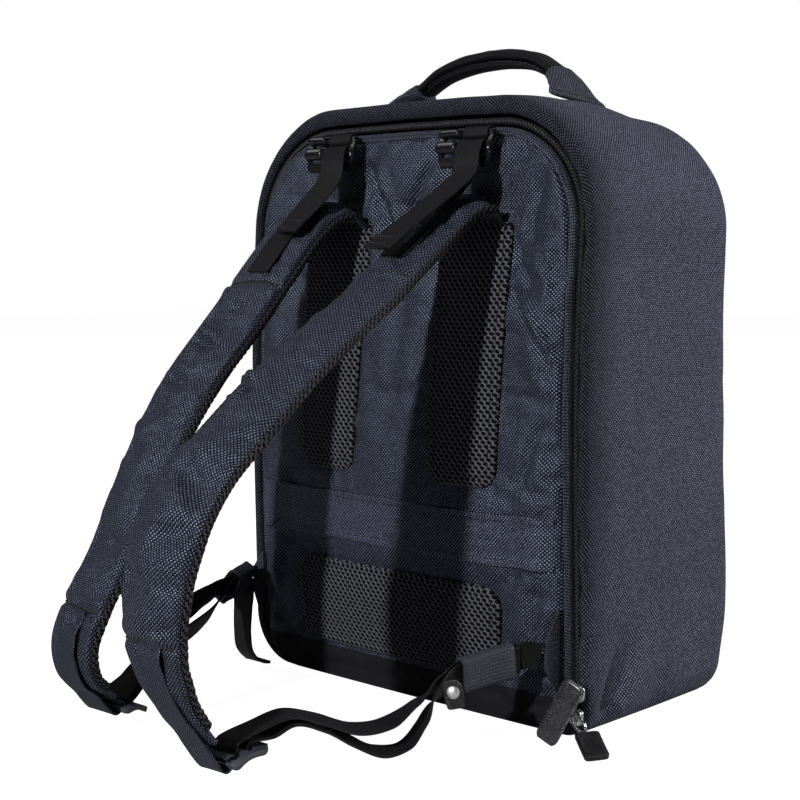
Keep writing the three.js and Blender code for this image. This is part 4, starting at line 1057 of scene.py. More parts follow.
def band():
    """The flat cloth sleeve across the panel, hemmed along both edges."""
    nz, nx = 25, 131
    v = np.linspace(0, 1, nz)
    x = np.linspace(-BAND["half"], BAND["half"], nx)[None] * np.ones((nz, 1))
    z = (BAND["z0"] + (BAND["z1"] - BAND["z0"]) * v)[:, None] + 0 * x
    sag = 0.9 * noise(x / 45, 3.3, 41) + 0.4 * noise(x / 18, z / 40, 42)
    z = z + sag * smooth(143, 110, np.abs(x))
    base = face_out(x, np.clip(z, BAND["z0"], BAND["z1"]))
    ends = smooth(143, 132, np.abs(x))
    edge = np.minimum(v, 1 - v)[:, None] * (BAND["z1"] - BAND["z0"])
    hem = 0.55 * (1 - smooth(4.2, 5.4, edge)) - 0.35 * np.exp(-(((edge - 4.6) / 0.7) ** 2))
    y = base - BAND["stand"] * (0.35 + 0.65 * ends) - 1.2 - 0.9 * ends * np.sin(np.pi * v)[:, None] - hem + 0.5 * noise(x / 30, z / 20, 43) * ends
    y = y - ends * (1.0 + 1.5 * (1 - smooth(0, 0.28, v))[:, None] * (0.75 + 0.5 * noise(x / 32, 0.2, 44)) + 0.7 * smooth(0.8, 1, v)[:, None])
    front = np.stack([x, y, z], -1)
    back = front + np.array([0, 1, 0]) * (1.0 + hem)[..., None]
    p = np.concatenate([front, back[::-1]], 0)
    piece = Piece()
    uv = np.stack([x, z], -1)
    full = np.concatenate([uv, uv[::-1], uv[:1]], 0)
    ring = piece.grid(p, uv=full, wrap_i=True)
    for col in (0, -1):
        piece.grid(np.stack([front[:, col], back[:, col]]))
    o = piece.make("band_sleeve", M_BAND, nodes=["luggage_band"], slot="canvas_back", sharp=50)
    return o, front


# ---------------------------------------------------------------- straps
STRAP_ROWS = {
    "right": [
        dict(x=66, y=-98, z=352, w=60, t=8),
        dict(x=66, y=-112, z=353.5, w=56, t=10, tip=2),
        dict(x=66, y=-128, z=349.5, w=52, t=11, tip=3),
        dict(x=66, y=-146, z=337.5, w=50, t=12, tip=3),
        dict(x=66, y=-166, z=323, w=50, t=12, tip=3),
        dict(x=66, y=-206, z=295.5, w=51, t=12, tip=2),
        dict(x=66, y=-272, z=255, w=55, t=12),
        dict(x=66, y=-322, z=216.5, w=58, t=12),
        dict(x=62.5, y=-350, z=191, w=63, t=12),
        dict(x=61.5, y=-367, z=162, w=64, t=12, wide=-3),
        dict(x=59.5, y=-374, z=132, w=59, t=12, wide=-3),
        dict(x=58.5, y=-374.5, z=104, w=50, t=11, wide=0),
        dict(x=59, y=-369, z=80, w=41, t=10, wide=3),
        dict(x=60.5, y=-357, z=56, w=32, t=9, wide=4),
        dict(x=63, y=-341, z=36, w=26, t=7.5, wide=4),
    ],
    "left": [
        dict(x=-66, y=-98, z=352, w=60, t=8),
        dict(x=-66, y=-112, z=353, w=56, t=10, tip=-2),
        dict(x=-66, y=-128, z=348, w=52, t=11, tip=-3),
        dict(x=-66, y=-148, z=333, w=51, t=12, tip=-3),
        dict(x=-66, y=-170, z=311, w=52, t=12, tip=-3),
        dict(x=-66, y=-207, z=272, w=54, t=12, tip=-2),
        dict(x=-67, y=-238, z=240, w=57, t=12, wide=-3),
        dict(x=-68, y=-263, z=207, w=60, t=12, wide=-8),
        dict(x=-70, y=-288, z=164, w=62, t=12, wide=-13),
        dict(x=-72, y=-308, z=124, w=60, t=12, wide=-15),
        dict(x=-74, y=-325, z=94, w=54, t=11, wide=-12),
        dict(x=-77, y=-334, z=68, w=46, t=10, wide=-5),
        dict(x=-81, y=-328, z=45, w=38, t=9, wide=4),
        dict(x=-85, y=-309, z=29, w=31, t=7.5, wide=12),
    ],
}
LINING, LINING_GAP = 2.8, 1.0
COARSE = {side: Strip(rows, count=36) for side, rows in STRAP_ROWS.items()}


# Creases of the strap's cloth: distance from the root, reach across (from -1 to 1), depth, half width, slant
STRAP_FOLDS = {
    "right": [(234, -0.86, -0.1, 4.6, 4.4, 6), (300, -0.2, 0.5, 1.8, 7, 14), (338, 0.0, 0.9, 1.8, 7, -10), (368, -0.9, 0.0, 1.6, 8, 12), (180, -0.6, 0.2, 1.2, 7, 10), (405, -0.3, 0.6, 1.4, 8, 10)],
    "left": [(162, -0.7, 0.15, 3.0, 4.5, 8), (196, -0.6, 0.3, 2.8, 5.0, 8), (128, -0.2, 0.4, 1.6, 4, 4), (250, -0.9, 0.0, 1.8, 8, 10), (310, 0.0, 0.8, 1.6, 8, -8), (352, -0.7, 0.1, 1.5, 8, 10)],
}


SEAMS = Thread()


def strap_pad(side, threads):
    s = Strip(STRAP_ROWS[side], spacing=4.2)
    n = len(s)
    lo, hi = (-s.t / 2 + LINING + 0.5)[:, None], (s.t / 2)[:, None]
    h, a = hi - lo, (s.w / 2)[:, None]
    e = np.minimum(h * 0.62, a * 0.4)
    zero = 0 * a
    tail = s.s[-1] - s.s
    full = smooth(70, 76, tail)[:, None]  # the padding stops at the seam across the tail
    # domed by its padding, most of all in the upper half; it falls to a thin sewn edge
    dome = full * (1.0 - 0.5 * smooth(240, 380, s.s)[:, None]) * (1.0 if side == "right" else 0.4)
    peak = hi + 0.3 + (2.8 if side == "right" else 1.5) * dome
    edge = lo + 0.16 * h
    fall = lambda r: peak - (0.25 + 0.75 * dome) * (peak - edge) * np.abs(r) ** 1.9
    cols = [
        (-a + e, lo), (-a * 0.4, lo), (a * 0.4, lo), (a - e, lo), (a - e * 0.15, lo + h * 0.06), (a, (edge + fall(0.97)) / 2 - 0.1 * h),
        (a * 0.96, fall(0.94)), (a * 0.78, fall(0.76)), (a * 0.5, fall(0.46)), (a * 0.2, fall(0.14)), (-a * 0.12, fall(0.14)), (-a * 0.46, fall(0.48)),
        (-a * 0.76, fall(0.78)), (-a * 0.96, fall(0.95)), (-a, (edge + fall(0.97)) / 2 - 0.1 * h), (-a + e * 0.15, lo + h * 0.06),
    ]
    pa = np.concatenate([np.broadcast_to(c[0], (n, 1)) for c in cols], 1)
    po = np.concatenate([np.broadcast_to(c[1], (n, 1)) for c in cols], 1)
    basis = ring_basis(len(cols), 40)
    pa, po = pa @ basis.T, po @ basis.T
    p = s.place(pa, po)
    hold = (po < (lo + h * 0.3)) | (np.abs(pa) > 0.93 * a)
    hold[:2] = hold[-3:] = True
    hold |= (tail < 77)[:, None]
    hold |= ((s.s > 60) & (s.s < 112))[:, None] & (pa < 7)
    p = swell(p, hold, wrap_j=True, pressure=4.0, slack=0.025, cap=2.6, frames=18, bend=0.4)
    p = finer(p, wrap_j=True)
    k = p.shape[1]
    ss = np.interp(np.linspace(0, n - 1, p.shape[0]), np.arange(n), s.s)
    fa = finer(np.repeat(pa[..., None], 3, -1), wrap_j=True)[..., 0]
    fo = finer(np.repeat(po[..., None], 3, -1), wrap_j=True)[..., 0]
    wide = finer(np.repeat(np.stack([s.w, s.w], 1)[..., None], 3, -1))[:, 0, 0]
    out = finer(np.stack([s.out, s.out], 1))[:, 0]
    across = finer(np.stack([s.across, s.across], 1))[:, 0]
    thick = finer(np.repeat(np.stack([s.t, s.t], 1)[..., None], 3, -1))[:, 0, 0]
    rel = fa / (wide / 2)[:, None]
    top = smooth(0.0, 0.3, fo / thick[:, None])
    seed = 51 if side == "right" else 52
    crease = 1.5 * noise(rel * 1.4, ss[:, None] / 52, seed) + 0.6 * noise(rel * 2.6 + ss[:, None] / 90, ss[:, None] / 34, seed + 10) + 0.08 * noise(rel * 6, ss[:, None] / 14, seed + 20)
    pucker = 0.6 + 0.4 * noise(rel * 5, 0.3, seed + 30)
    seam = -2.4 * np.exp(-(((ss[-1] - ss - 73) / 2.2) ** 2))[:, None] + 1.6 * pucker * np.exp(-(((ss[-1] - ss - 79.5) / 4.0) ** 2))[:, None]
    seam = seam - 2.6 * np.exp(-(((ss - 104) / 2.2) ** 2))[:, None] + 1.9 * pucker * np.exp(-(((ss - 111) / 4.2) ** 2))[:, None]
    for s0, r0, r1, deep, wid, slant in STRAP_FOLDS[side]:
        rc = (r0 + r1) / 2
        t = (ss[:, None] - s0 - slant * (rel - rc)) / wid
        where = smooth(r0 - 0.12, r0 + 0.12, rel) * (1 - smooth(r1 - 0.22, r1 + 0.22, rel))
        crease = crease + 1.9 * where * deep * (0.7 * np.exp(-((t + 1.9) ** 2)) + 0.5 * np.exp(-((t - 2.0) ** 2)) - np.exp(-(t**2))) / np.maximum(1 - 0.7 * rel**2, 0.3)
    p += (out[:, None] * ((crease * (1 - 0.8 * rel**2) + seam) * top)[..., None])
    p[..., 2] -= 13 * np.abs(rel) ** 3 * (1 - smooth(0, 20, ss))[:, None]
    piece = Piece()
    u = np.concatenate([lengths(p, 1), lengths(p, 1)[:, -1:] + 3], 1)
    mid = int(np.argmax(fo[len(fo) // 2]))
    u = u - u[:, mid : mid + 1]
    uv = np.stack([u, np.broadcast_to(ss[:, None], u.shape)], -1)
    idx = piece.grid(p, uv=uv, wrap_j=True)
    piece.fan(idx[0])
    piece.fan(idx[-1])
    o = piece.make(f"strap_cloth_{side}", M_STRAP, nodes=[f"strap_pad_{side}"], slot="canvas")
    # stitched lines and seams across the strap: at the seam across the tail, and at the cross seam below the root
    for at_s in (ss[-1] - 79, 107.5):
        r2 = int(np.argmin(np.abs(ss - at_s)))
        pick = (fo[r2] > 0) & (np.abs(rel[r2]) < 0.93) & (top[r2] > 0.3)
        order = np.argsort(fa[r2][pick])
        pts = p[r2][pick][order] + out[r2] * 0.15
        threads.line(pts, out[r2], length=2.6, gap=1.3, r=0.32)
    for at_s in (ss[-1] - 73, 104):
        r2 = int(np.argmin(np.abs(ss - at_s)))
        pick = (fo[r2] > 0) & (np.abs(rel[r2]) < 0.97)
        order = np.argsort(fa[r2][pick])
        SEAMS.line(p[r2][pick][order] + out[r2] * 0.5, out[r2], length=3.4, gap=0.1, r=0.95)
    return o, s


def strap_lining(side):
    s = Strip(STRAP_ROWS[side], spacing=0.95)
    cut = int(12 / 0.95)
    s = s.part(cut, len(s) - cut)
    w = s.w + 2.6
    lo = -s.t / 2 - 0.6
    m = 70
    u = np.sin(np.linspace(-1, 1, m) * math.pi / 2) * 0.35 + np.linspace(-1, 1, m) * 0.65
    x = u[None] * (w / 2)[:, None]
    d = (w / 2)[:, None] - np.abs(x)
    roll = np.sqrt(1 - (1 - np.clip(d / 3.0, 0, 1)) ** 2)
    net = lattice(x, s.s[:, None], 3.4, 4.6)
    h = (LINING + 1.0) * roll - 0.7 * net * smooth(0.2, 1.2, d)
    lower = s.place(x - 0.2 * np.sign(x) * net * (1 - smooth(1, 3, d)), lo[:, None] + LINING + 1.0 - h)
    # the edge comes up beside the pad
    ends = np.array([(1.0, 1.3, 1.3), (0.985, 2.5, 2.5), (0.93, 2.0, 4.2), (0.0, 0.05, 0.0), (-0.93, 2.0, -4.2), (-0.985, 2.5, -2.5), (-1.0, 1.3, -1.3)])
    dent = 0.35 * lattice(ends[None, :, 2] + np.sign(ends[None, :, 0]) * (w / 2)[:, None], s.s[:, None], 3.4, 4.6)
    upper = s.place(ends[None, :, 0] * (w / 2)[:, None] - np.sign(ends[None, :, 0]) * dent, (lo + LINING + 1.0)[:, None] + ends[None, :, 1])
    piece = Piece()
    p = np.concatenate([lower, upper], 1)
    rr = np.concatenate([u[None] + 0 * x, ends[None, :, 0] + 0 * upper[..., 0]], 1)
    p[..., 2] -= 13 * np.abs(rr) ** 3 * (1 - smooth(0, 20, s.s + 12))[:, None]
    uu = np.concatenate([x, np.sign(ends[None, :, 0]) * (w / 2)[:, None] + ends[None, :, 2], x[:, :1] - 1.3], 1)
    uv = np.stack([uu, np.broadcast_to(s.s[:, None], uu.shape)], -1)
    idx = piece.grid(p, uv=uv, wrap_j=True)
    piece.fan(idx[0])
    piece.fan(idx[-1])
    o = piece.make(f"strap_lining_{side}", M_LINING, nodes=[f"strap_mesh_{side}"], slot="spacer_mesh")
    return o


# ---------------------------------------------------------------- buckles
LOCK = dict(half=18.5, length=33, thick=3.4, slot_half=13.2, slot=6.4, bar=4.4, wave=2.2, nose=7)
LIFT = dict(half=23, length=25, thick=3, slot_half=19.6, slot=5.2, bar=4, wave=0.8, nose=3, aside=8)
BUCKLES = {
    "ladder_lock_right": dict(b=LOCK, x=64.5, y=-334, z=20, wide=3, dip=-12, tip=0),
    "ladder_lock_left": dict(b=LOCK, x=-88, y=-302, z=17.5, wide=18, dip=10, tip=-8),
    "lifter_buckle_right": dict(b=LIFT, x=66, y=-104, z=405, wide=180, dip=70, tip=0, ribbon=0),
    "lifter_buckle_left": dict(b=LIFT, x=-64, y=-104, z=406, wide=180, dip=70, tip=0, ribbon=0),
}


def wave(b, l):
    return b["wave"] * np.sin(np.clip(l, 0, b["length"]) / b["length"] * math.pi * 1.5)


def frame_of(s):
    w, d, t = math.radians(s["wide"]), math.radians(s["dip"]), math.radians(s["tip"])
    ac = np.array([math.cos(w) * math.cos(t), math.sin(w) * math.cos(t), math.sin(t)])
    al = np.array([-math.sin(w) * math.cos(d), math.cos(w) * math.cos(d), -math.sin(d)])
    al = unit(al - ac * (al @ ac))
    return np.array([s["x"], s["y"], s["z"]], float), al, ac, np.cross(ac, al)


def at_buckle(name, l, o, a=0.0):
    s = BUCKLES[name]
    at, al, ac, out = frame_of(s)
    v = at + al * l + out * (o + float(wave(s["b"], l))) + ac * a
    return dict(x=v[0], y=v[1], z=v[2], wide=s.get("ribbon", s["wide"]), tip=s["tip"])


def buckle(name, mat):
    """A moulded plate with two slots, eased edges and a tapered tongue."""
    spec = BUCKLES[name]
    b = spec["b"]
    L, sl, bar, sh = b["length"], b["slot"], b["bar"], b["slot_half"]
    cuts = [0, bar, bar + sl, 2 * bar + sl, 2 * bar + 2 * sl, L]
    ls = np.concatenate([np.linspace(p, q, max(2, int(round((q - p) / 1.1))), endpoint=False) for p, q in zip(cuts[:-1], cuts[1:])] + [[L]])
    inner = np.linspace(-sh, sh, 15)
    k = 4
    cols = len(inner) + 2 * k
    a = np.zeros((len(ls), cols))
    for i, l in enumerate(ls):
        half = b["half"]
        half -= 2.5 * (1 - math.sqrt(max(0, 1 - max(0, 1 - l / 2.5) ** 2)))
        t = max(0, (l - L * 2 / 3) / (L / 3))
        half -= b["nose"] * t**1.6
        squeeze = min(1.0, (half - 0.6) / sh) if half < sh + 0.6 else 1.0
        ins = inner * squeeze
        left = np.linspace(-half, ins[0], k, endpoint=False)
        a[i] = np.concatenate([left, ins, -left[::-1]])
    keep = np.ones((len(ls) - 1, cols - 1), bool)
    mid = (ls[:-1] + ls[1:]) / 2
    for z0 in (bar, 2 * bar + sl):
        keep[np.ix_((mid > z0) & (mid < z0 + sl), range(k, k + len(inner) - 1))] = False
    at, al, ac, out = frame_of(spec)
    lw = wave(b, ls)
    p = at + a[..., None] * ac + ls[:, None, None] * al + lw[:, None, None] * out
    piece = Piece()
    piece.grid(p, keep=keep)
    o = piece.make(name + "_body", mat, nodes=[name], slot="plastic")
    b2 = bmesh.new()
    b2.from_mesh(o.data)
    bmesh.ops.delete(b2, geom=[v for v in b2.verts if not v.link_faces], context="VERTS")
    b2.to_mesh(o.data)
    b2.free()
    sol = o.modifiers.new("s", "SOLIDIFY")
    sol.thickness, sol.offset = b["thick"] * 0.001, 0
    bev = o.modifiers.new("b", "BEVEL")
    bev.width, bev.segments, bev.limit_method, bev.angle_limit = 0.0009, 3, "ANGLE", math.radians(50)
    baked(o)
    o.data.polygons.foreach_set("use_smooth", np.full(len(o.data.polygons), True))
    o.data.set_sharp_from_angle(angle=math.radians(42))
    if b is LIFT:
        # rounded ribs along both bars; they stand out further beside the webbing
        bars = Piece()
        ang = np.arange(20) * math.pi / 10
        sq = lambda c: np.sign(c) * np.abs(c) ** 0.8
        aa = np.concatenate([[-22.6, -22.4, -21.6], np.linspace(-20, 2.6, 12), np.linspace(3.2, 5.6, 5), np.linspace(7, 21, 8), [22.2, 22.7, 22.8]])
        for l, rl in ((1.6, 3.0), (11.6, 4.4)):
            free = smooth(3.0, 5.6, aa)
            end = np.sqrt(np.clip(1 - ((np.abs(aa) - 21.4) / 1.5).clip(0, 1) ** 2, 0.02, 1))
            ro = (2.2 + 1.9 * free) * end
            oc = 0.3 + 2.4 * free + float(wave(b, l))
            ring = at + aa[:, None, None] * ac + (l + 0.9 * free[:, None, None] + sq(np.cos(ang))[None, :, None] * (rl * end)[:, None, None]) * al + (oc[:, None, None] + sq(np.sin(ang))[None, :, None] * ro[:, None, None]) * out
            idx = bars.grid(ring, wrap_j=True)
            bars.fan(idx[0])
            bars.fan(idx[-1])
        bars.make(name + "_bars", mat, slot="plastic", sharp=60)
    return o


# ---------------------------------------------------------------- webbing
def tail_webbing(side):
    lock = f"ladder_lock_{side}"
    c = COARSE[side]
    rows = c.rows(0, c.t / 2 + 1.9, 30, 36) + [at_buckle(lock, l, o) for l, o in [(-1.5, -3.6), (3, -3.4), (6.2, -1.2), (6.6, 1.4), (4.4, 3.5), (0, 4)]]
    piece = Piece()
    s = Strip(rows, spacing=1.6)
    sunk = -2.6 * (1 - smooth(7, 15, s.s)) - 0.55 * (1 - smooth(66, 80, s.s))
    webbing(piece, s, 22, 1.3, lift=sunk)
    return piece.make(f"tail_web_{side}", M_TAILWEB, nodes=[f"strap_tail_webbing_{side}"], slot="webbing")


ADJUSTER = {
    "right": dict(
        run=[
            (144, -122.4, 58, -23, 84), (139.5, -131, 60.5, -23, 74), (132, -138, 57.5, -23, 80), (118, -174, 51.5, -23, 78), (113, -189, 47.5, -23, 50),
            (107.5, -206, 37, -23, 14), (100.5, -223, 27, -23, -4), (92, -243, 26, -24, -8), (82, -265, 35, -25, -8), (73.5, -284, 41, -18, -4), (67.5, -303, 37, -8, 0),
        ],
        back=[
            (69, -297.5, 30.5, -8, 0), (75, -283, 36.5, -18, -4), (83, -265, 31, -25, -8), (91, -247, 19.5, -24, -12), (98, -229, 9.5, -23, -8), (105.5, -212, 11, -23, 4),
            (110.5, -201.5, 24, -23, 16), (115, -192, 41, -23, 50), (120.5, -175, 51, -23, 78), (134.5, -139, 56.8, -23, 80), (136.3, -135, 57.3, -23, 79),
        ],
    ),
    "left": dict(
        run=[
            (-150, -114, 68, 18, 70), (-145.5, -130, 71, 18, 58), (-138, -152, 69.5, 18, 52), (-130, -174, 67.5, 18, 66), (-121, -200, 63.5, 18, 80),
            (-111, -228, 56, 18, 64), (-102, -254, 44, 18, 30), (-95, -272, 32, 18, 4),
        ],
        back=[
            (-98, -267, 27, 18, 4), (-104, -250, 37, 18, 22), (-110, -229, 43, 18, 50), (-117, -202, 47, 18, 62), (-126, -176, 54, 18, 58), (-135.5, -152, 67, 18, 52),
            (-141, -136.5, 68.4, 18, 55), (-143.6, -130, 65.5, 18, 42), (-144.3, -128, 57, 10, 12), (-144.3, -128.6, 46, 4, 2), (-143.5, -130, 28, 0, 0),
            (-142, -129, 14, 0, 0), (-141, -121, 5, 0, 0), (-140, -112, 2.4, 0, 0),
        ],
    ),
}
WRAP = [(11.6, 6.4), (9.2, 3.2), (8.8, 0), (9.2, -2.6), (11, -4), (13, -4.3), (15.4, -4), (17.2, -2.6), (17.6, 0), (18, 2.6), (20.4, 5)]
as_row = lambda r: dict(zip(("x", "y", "z", "wide", "tip"), r))


def adjuster_rows(side):
    lock, table = f"ladder_lock_{side}", ADJUSTER[side]
    return [as_row(r) for r in table["run"]] + [at_buckle(lock, l, o) for l, o in WRAP] + [as_row(r) for r in table["back"]]


ADJ_COARSE = {side: Strip(adjuster_rows(side), steps=2) for side in ("left", "right")}


def adjuster(side):
    s = Strip(adjuster_rows(side), spacing=2.0)
    end = s.s[-1] - s.s
    t = 1.2 + 1.1 * (1 - smooth(10, 12.5, end))
    piece = Piece()
    webbing(piece, s, 20, t)
    return piece.make(f"adjuster_web_{side}", M_WEB, nodes=[f"adjuster_webbing_{side}"], slot="webbing"), s


def keeper(name, node, coarse, half, low, high, wall, threads):
    """An elastic loop round both layers of the webbing."""
    rows = coarse.rows(0, np.zeros(len(coarse)), 0, len(coarse))
    s = Strip(rows, count=18)
    k = 36
    ang = np.arange(k) * 2 * math.pi / k
    sq = lambda c: np.sign(c) * np.abs(c) ** 0.38
    mid, hh = (low + high) / 2, (high - low) / 2
    f = np.linspace(0, 1, len(s))
    bead = 0.35 * np.exp(-((np.minimum(f, 1 - f) / 0.06) ** 2))
    waist = 0.5 * np.sin(f * math.pi)
    ring = lambda g: s.place(sq(np.cos(ang))[None] * (half + g)[:, None], mid + sq(np.sin(ang))[None] * (hh + g - waist * 0.4)[:, None])
    outer, inner = ring(wall + bead), ring(np.zeros(len(s)))[::-1]
    piece = Piece()
    piece.grid(np.concatenate([outer, inner]), wrap_i=True, wrap_j=True)
    for c in (2, len(s) - 3):
        pts = outer[c, 1 : k // 2]
        nr = unit(pts - outer[c].mean(0))
        threads.line(pts, nr, length=2.2, gap=1.1, r=0.3)
    return piece.make(name, M_ELASTIC, nodes=[node], slot="webbing")


def rounded_plate(points, thick, name, mat, node, slot, cuts=10, bevel=0.0006, bow=0.0):
    """A flat tab with eased edges from its corner points."""
    pts = np.asarray(points, float)
    c = pts.mean(0)
    nr = unit(np.cross(pts[1] - pts[0], pts[-1] - pts[0]))
    loop = np.concatenate([p + (q - p) * np.linspace(0, 1, cuts, endpoint=False)[:, None] for p, q in zip(pts, np.roll(pts, -1, 0))])
    soft = loop.copy()
    for _ in range(2):
        soft = (np.roll(soft, 1, 0) + 2 * soft + np.roll(soft, -1, 0)) / 4
    rad = np.linspace(1, 0.0, 8)[:-1]
    rows = []
    for side in (1, -1):
        part = [c + (soft - c) * r + nr * side * (thick / 2 * math.sqrt(max(0.0, 1 - max(0.0, (r - 0.94) / 0.06) ** 2)) + bow * (1 - r * r)) for r in ([0.94 + 0.06 * math.cos(q) for q in np.linspace(math.pi / 2, 0, 4)][::-1] + list(rad[1:]))]
        rows.append(part)
    p = np.array(rows[0][::-1] + rows[1][1:])
    piece = Piece()
    e1 = unit(pts[-1] - pts[0])
    e2 = np.cross(nr, e1)
    uv = np.stack([(p - c) @ e1, (p - c) @ e2], -1)
    uv = np.concatenate([uv, uv[:, :1]], 1)
    idx = piece.grid(p, uv=uv, wrap_j=True)
    piece.fan(idx[0])
    piece.fan(idx[-1])
    return piece.make(name, mat, nodes=[node], slot=slot)


def corner_tab(side, threads):
    sx, ax, ay, az = dict(right=(148, 145.6, -119.6, 58), left=(-143, -150.2, -112.4, 67))[side]
    base, z0, z1 = -107.4, 27, 91
    pts = [(sx, base, z0), (ax, ay, az - 9), (ax, ay, az + 9), (sx, base, z1)]
    o = rounded_plate(pts, 2.2, f"corner_web_{side}", M_TAB, f"corner_tab_{side}", "webbing", cuts=16)
    pts = np.array(pts)
    nr = unit(np.cross(pts[1] - pts[0], pts[-1] - pts[0]))
    for k in (0.25, 0.42):
        a, b = pts[0] + (pts[1] - pts[0]) * k, pts[3] + (pts[2] - pts[3]) * k
        line = a + (b - a) * np.linspace(0.06, 0.94, 12)[:, None]
        for sgn in (1, -1):
            threads.line(line + nr * sgn * 1.12, nr * sgn, length=2.4, gap=1.2, r=0.3)
    return o


def keeper_tab():
    s = ADJ_COARSE["right"]
    c = s.at[7] + np.array([14, -10.5, -4.6])
    up = unit(np.array([-0.2, -0.1, 0.97]))
    ac = np.array([0.84, 0.54, 0])
    ac = unit(ac - up * (ac @ up))
    out = unit(np.cross(ac, up))
    at = lambda a, u, o=0.0: c + ac * a + up * u + out * o
    rounded_plate([at(-6, -10), at(6, -10), at(6.5, 5), at(4, 9), at(-4, 9), at(-6.5, 5)], 1.9, "keeper_leather", M_LEATHER, "keeper_tab_right", "leather", cuts=8)
    prof = [(0.0, 2.85), (1.2, 2.8), (2.2, 2.6), (3.0, 2.25), (3.6, 1.85), (4.1, 1.5), (4.3, 1.25), (4.1, 1.05), (3.0, 1.0)]
    ang = np.arange(32) * math.pi / 16
    p = np.array([[at(max(r, 0.05) * math.cos(t), 1 + max(r, 0.05) * math.sin(t), h) for t in ang] for r, h in prof])
    piece = Piece()
    idx = piece.grid(p, wrap_j=True)
    piece.fan(idx[0])
    piece.fan(idx[-1])
    piece.make("rivet_head", M_RIVET, nodes=["rivet_right"], slot="nickel")


LIFTER_TAIL = {
    "right": [(10, -119.5, 389), (13, -125, 377), (11, -138, 366), (7, -158, 352.5), (3.5, -178, 339.5), (1, -198, 326.5)],
    "left": [(12, -119.5, 390), (16, -125, 377), (14, -134, 365), (10, -147, 351), (8, -162, 338)],
}


def lifters(side, threads):
    cx = dict(left=-64, right=66)[side]
    name, c = f"lifter_buckle_{side}", COARSE[side]
    rows = [at_buckle(name, l, o, -LIFT["aside"]) for l, o in [(2, -5.2), (-2.2, -3.6), (-3, 0), (-1.4, 2.7), (1.6, 3.2), (4.4, 2.4), (5.4, 0), (5.2, -2.6), (7, -5.2)]]
    piece = Piece()
    webbing(piece, Strip(rows, spacing=1.0), 22, 1.2)
    piece.make(f"anchor_web_{side}", M_WEB, nodes=[f"lifter_anchor_{side}"], slot="webbing")
    sewn = []
    for i in (7, 6, 5) if side == "right" else (8, 7, 6, 5):
        v = c.at[i] + c.across[i] * 1.5 + c.out[i] * (c.t[i] / 2 + 2.2)
        sewn.append(dict(x=v[0], y=v[1], z=v[2]))
    rise = [dict(x=cx + 3, y=-136, z=357.5), dict(x=cx + 7, y=-124.5, z=370)]
    wrap = [at_buckle(name, l, o, -LIFT["aside"]) for l, o in [(23, 3.6), (18, 3.2), (15.8, 0.6), (15, -2), (12.4, -3.4), (9.6, -3.2), (7.7, -1.2), (7.6, 1.6), (9.6, 4.6)]]
    tail = [dict(x=x + cx, y=y, z=z) for x, y, z in LIFTER_TAIL[side]]
    s = Strip(sewn + rise + wrap + tail, spacing=1.6)
    end = s.s[-1] - s.s
    t = 1.2 + 1.3 * (1 - smooth(12.5, 15, end)) + 0.5 * np.exp(-((end / 2.5) ** 2))
    piece = Piece()
    webbing(piece, s, 22, t)
    o = piece.make(f"lifter_web_{side}", M_WEB, nodes=[f"lifter_webbing_{side}"], slot="webbing")
    for d in (3.5, 11.5):
        i = int(np.argmin(np.abs(end - d)))
        a = np.linspace(-9.4, 9.4, 12)
        for sgn in (1, -1):
            pts = s.at[i] + a[:, None] * s.across[i] + s.out[i] * sgn * (t[i] / 2 + 0.05)
            threads.line(pts, s.out[i] * sgn, length=2.2, gap=1.1, r=0.32)
    return o


# ---------------------------------------------------------------- handle
HANDLE_Y = -4
HANDLE_ROWS = [(-64, 448.2, 19, 11), (-46, 458.4, 20, 12), (-22, 465, 21, 12.5), (0, 467.3, 21, 12.5), (22, 467, 21, 12.5), (46, 462.4, 20, 12), (64, 452.6, 19, 11)]
TAB_ROWS = [(65.4, 451.6, 23, 13), (71.5, 446.4, 30, 11), (76.5, 441, 37, 8), (81.5, 435, 43, 5.4), (86, 431.6, 46, 3.4)]


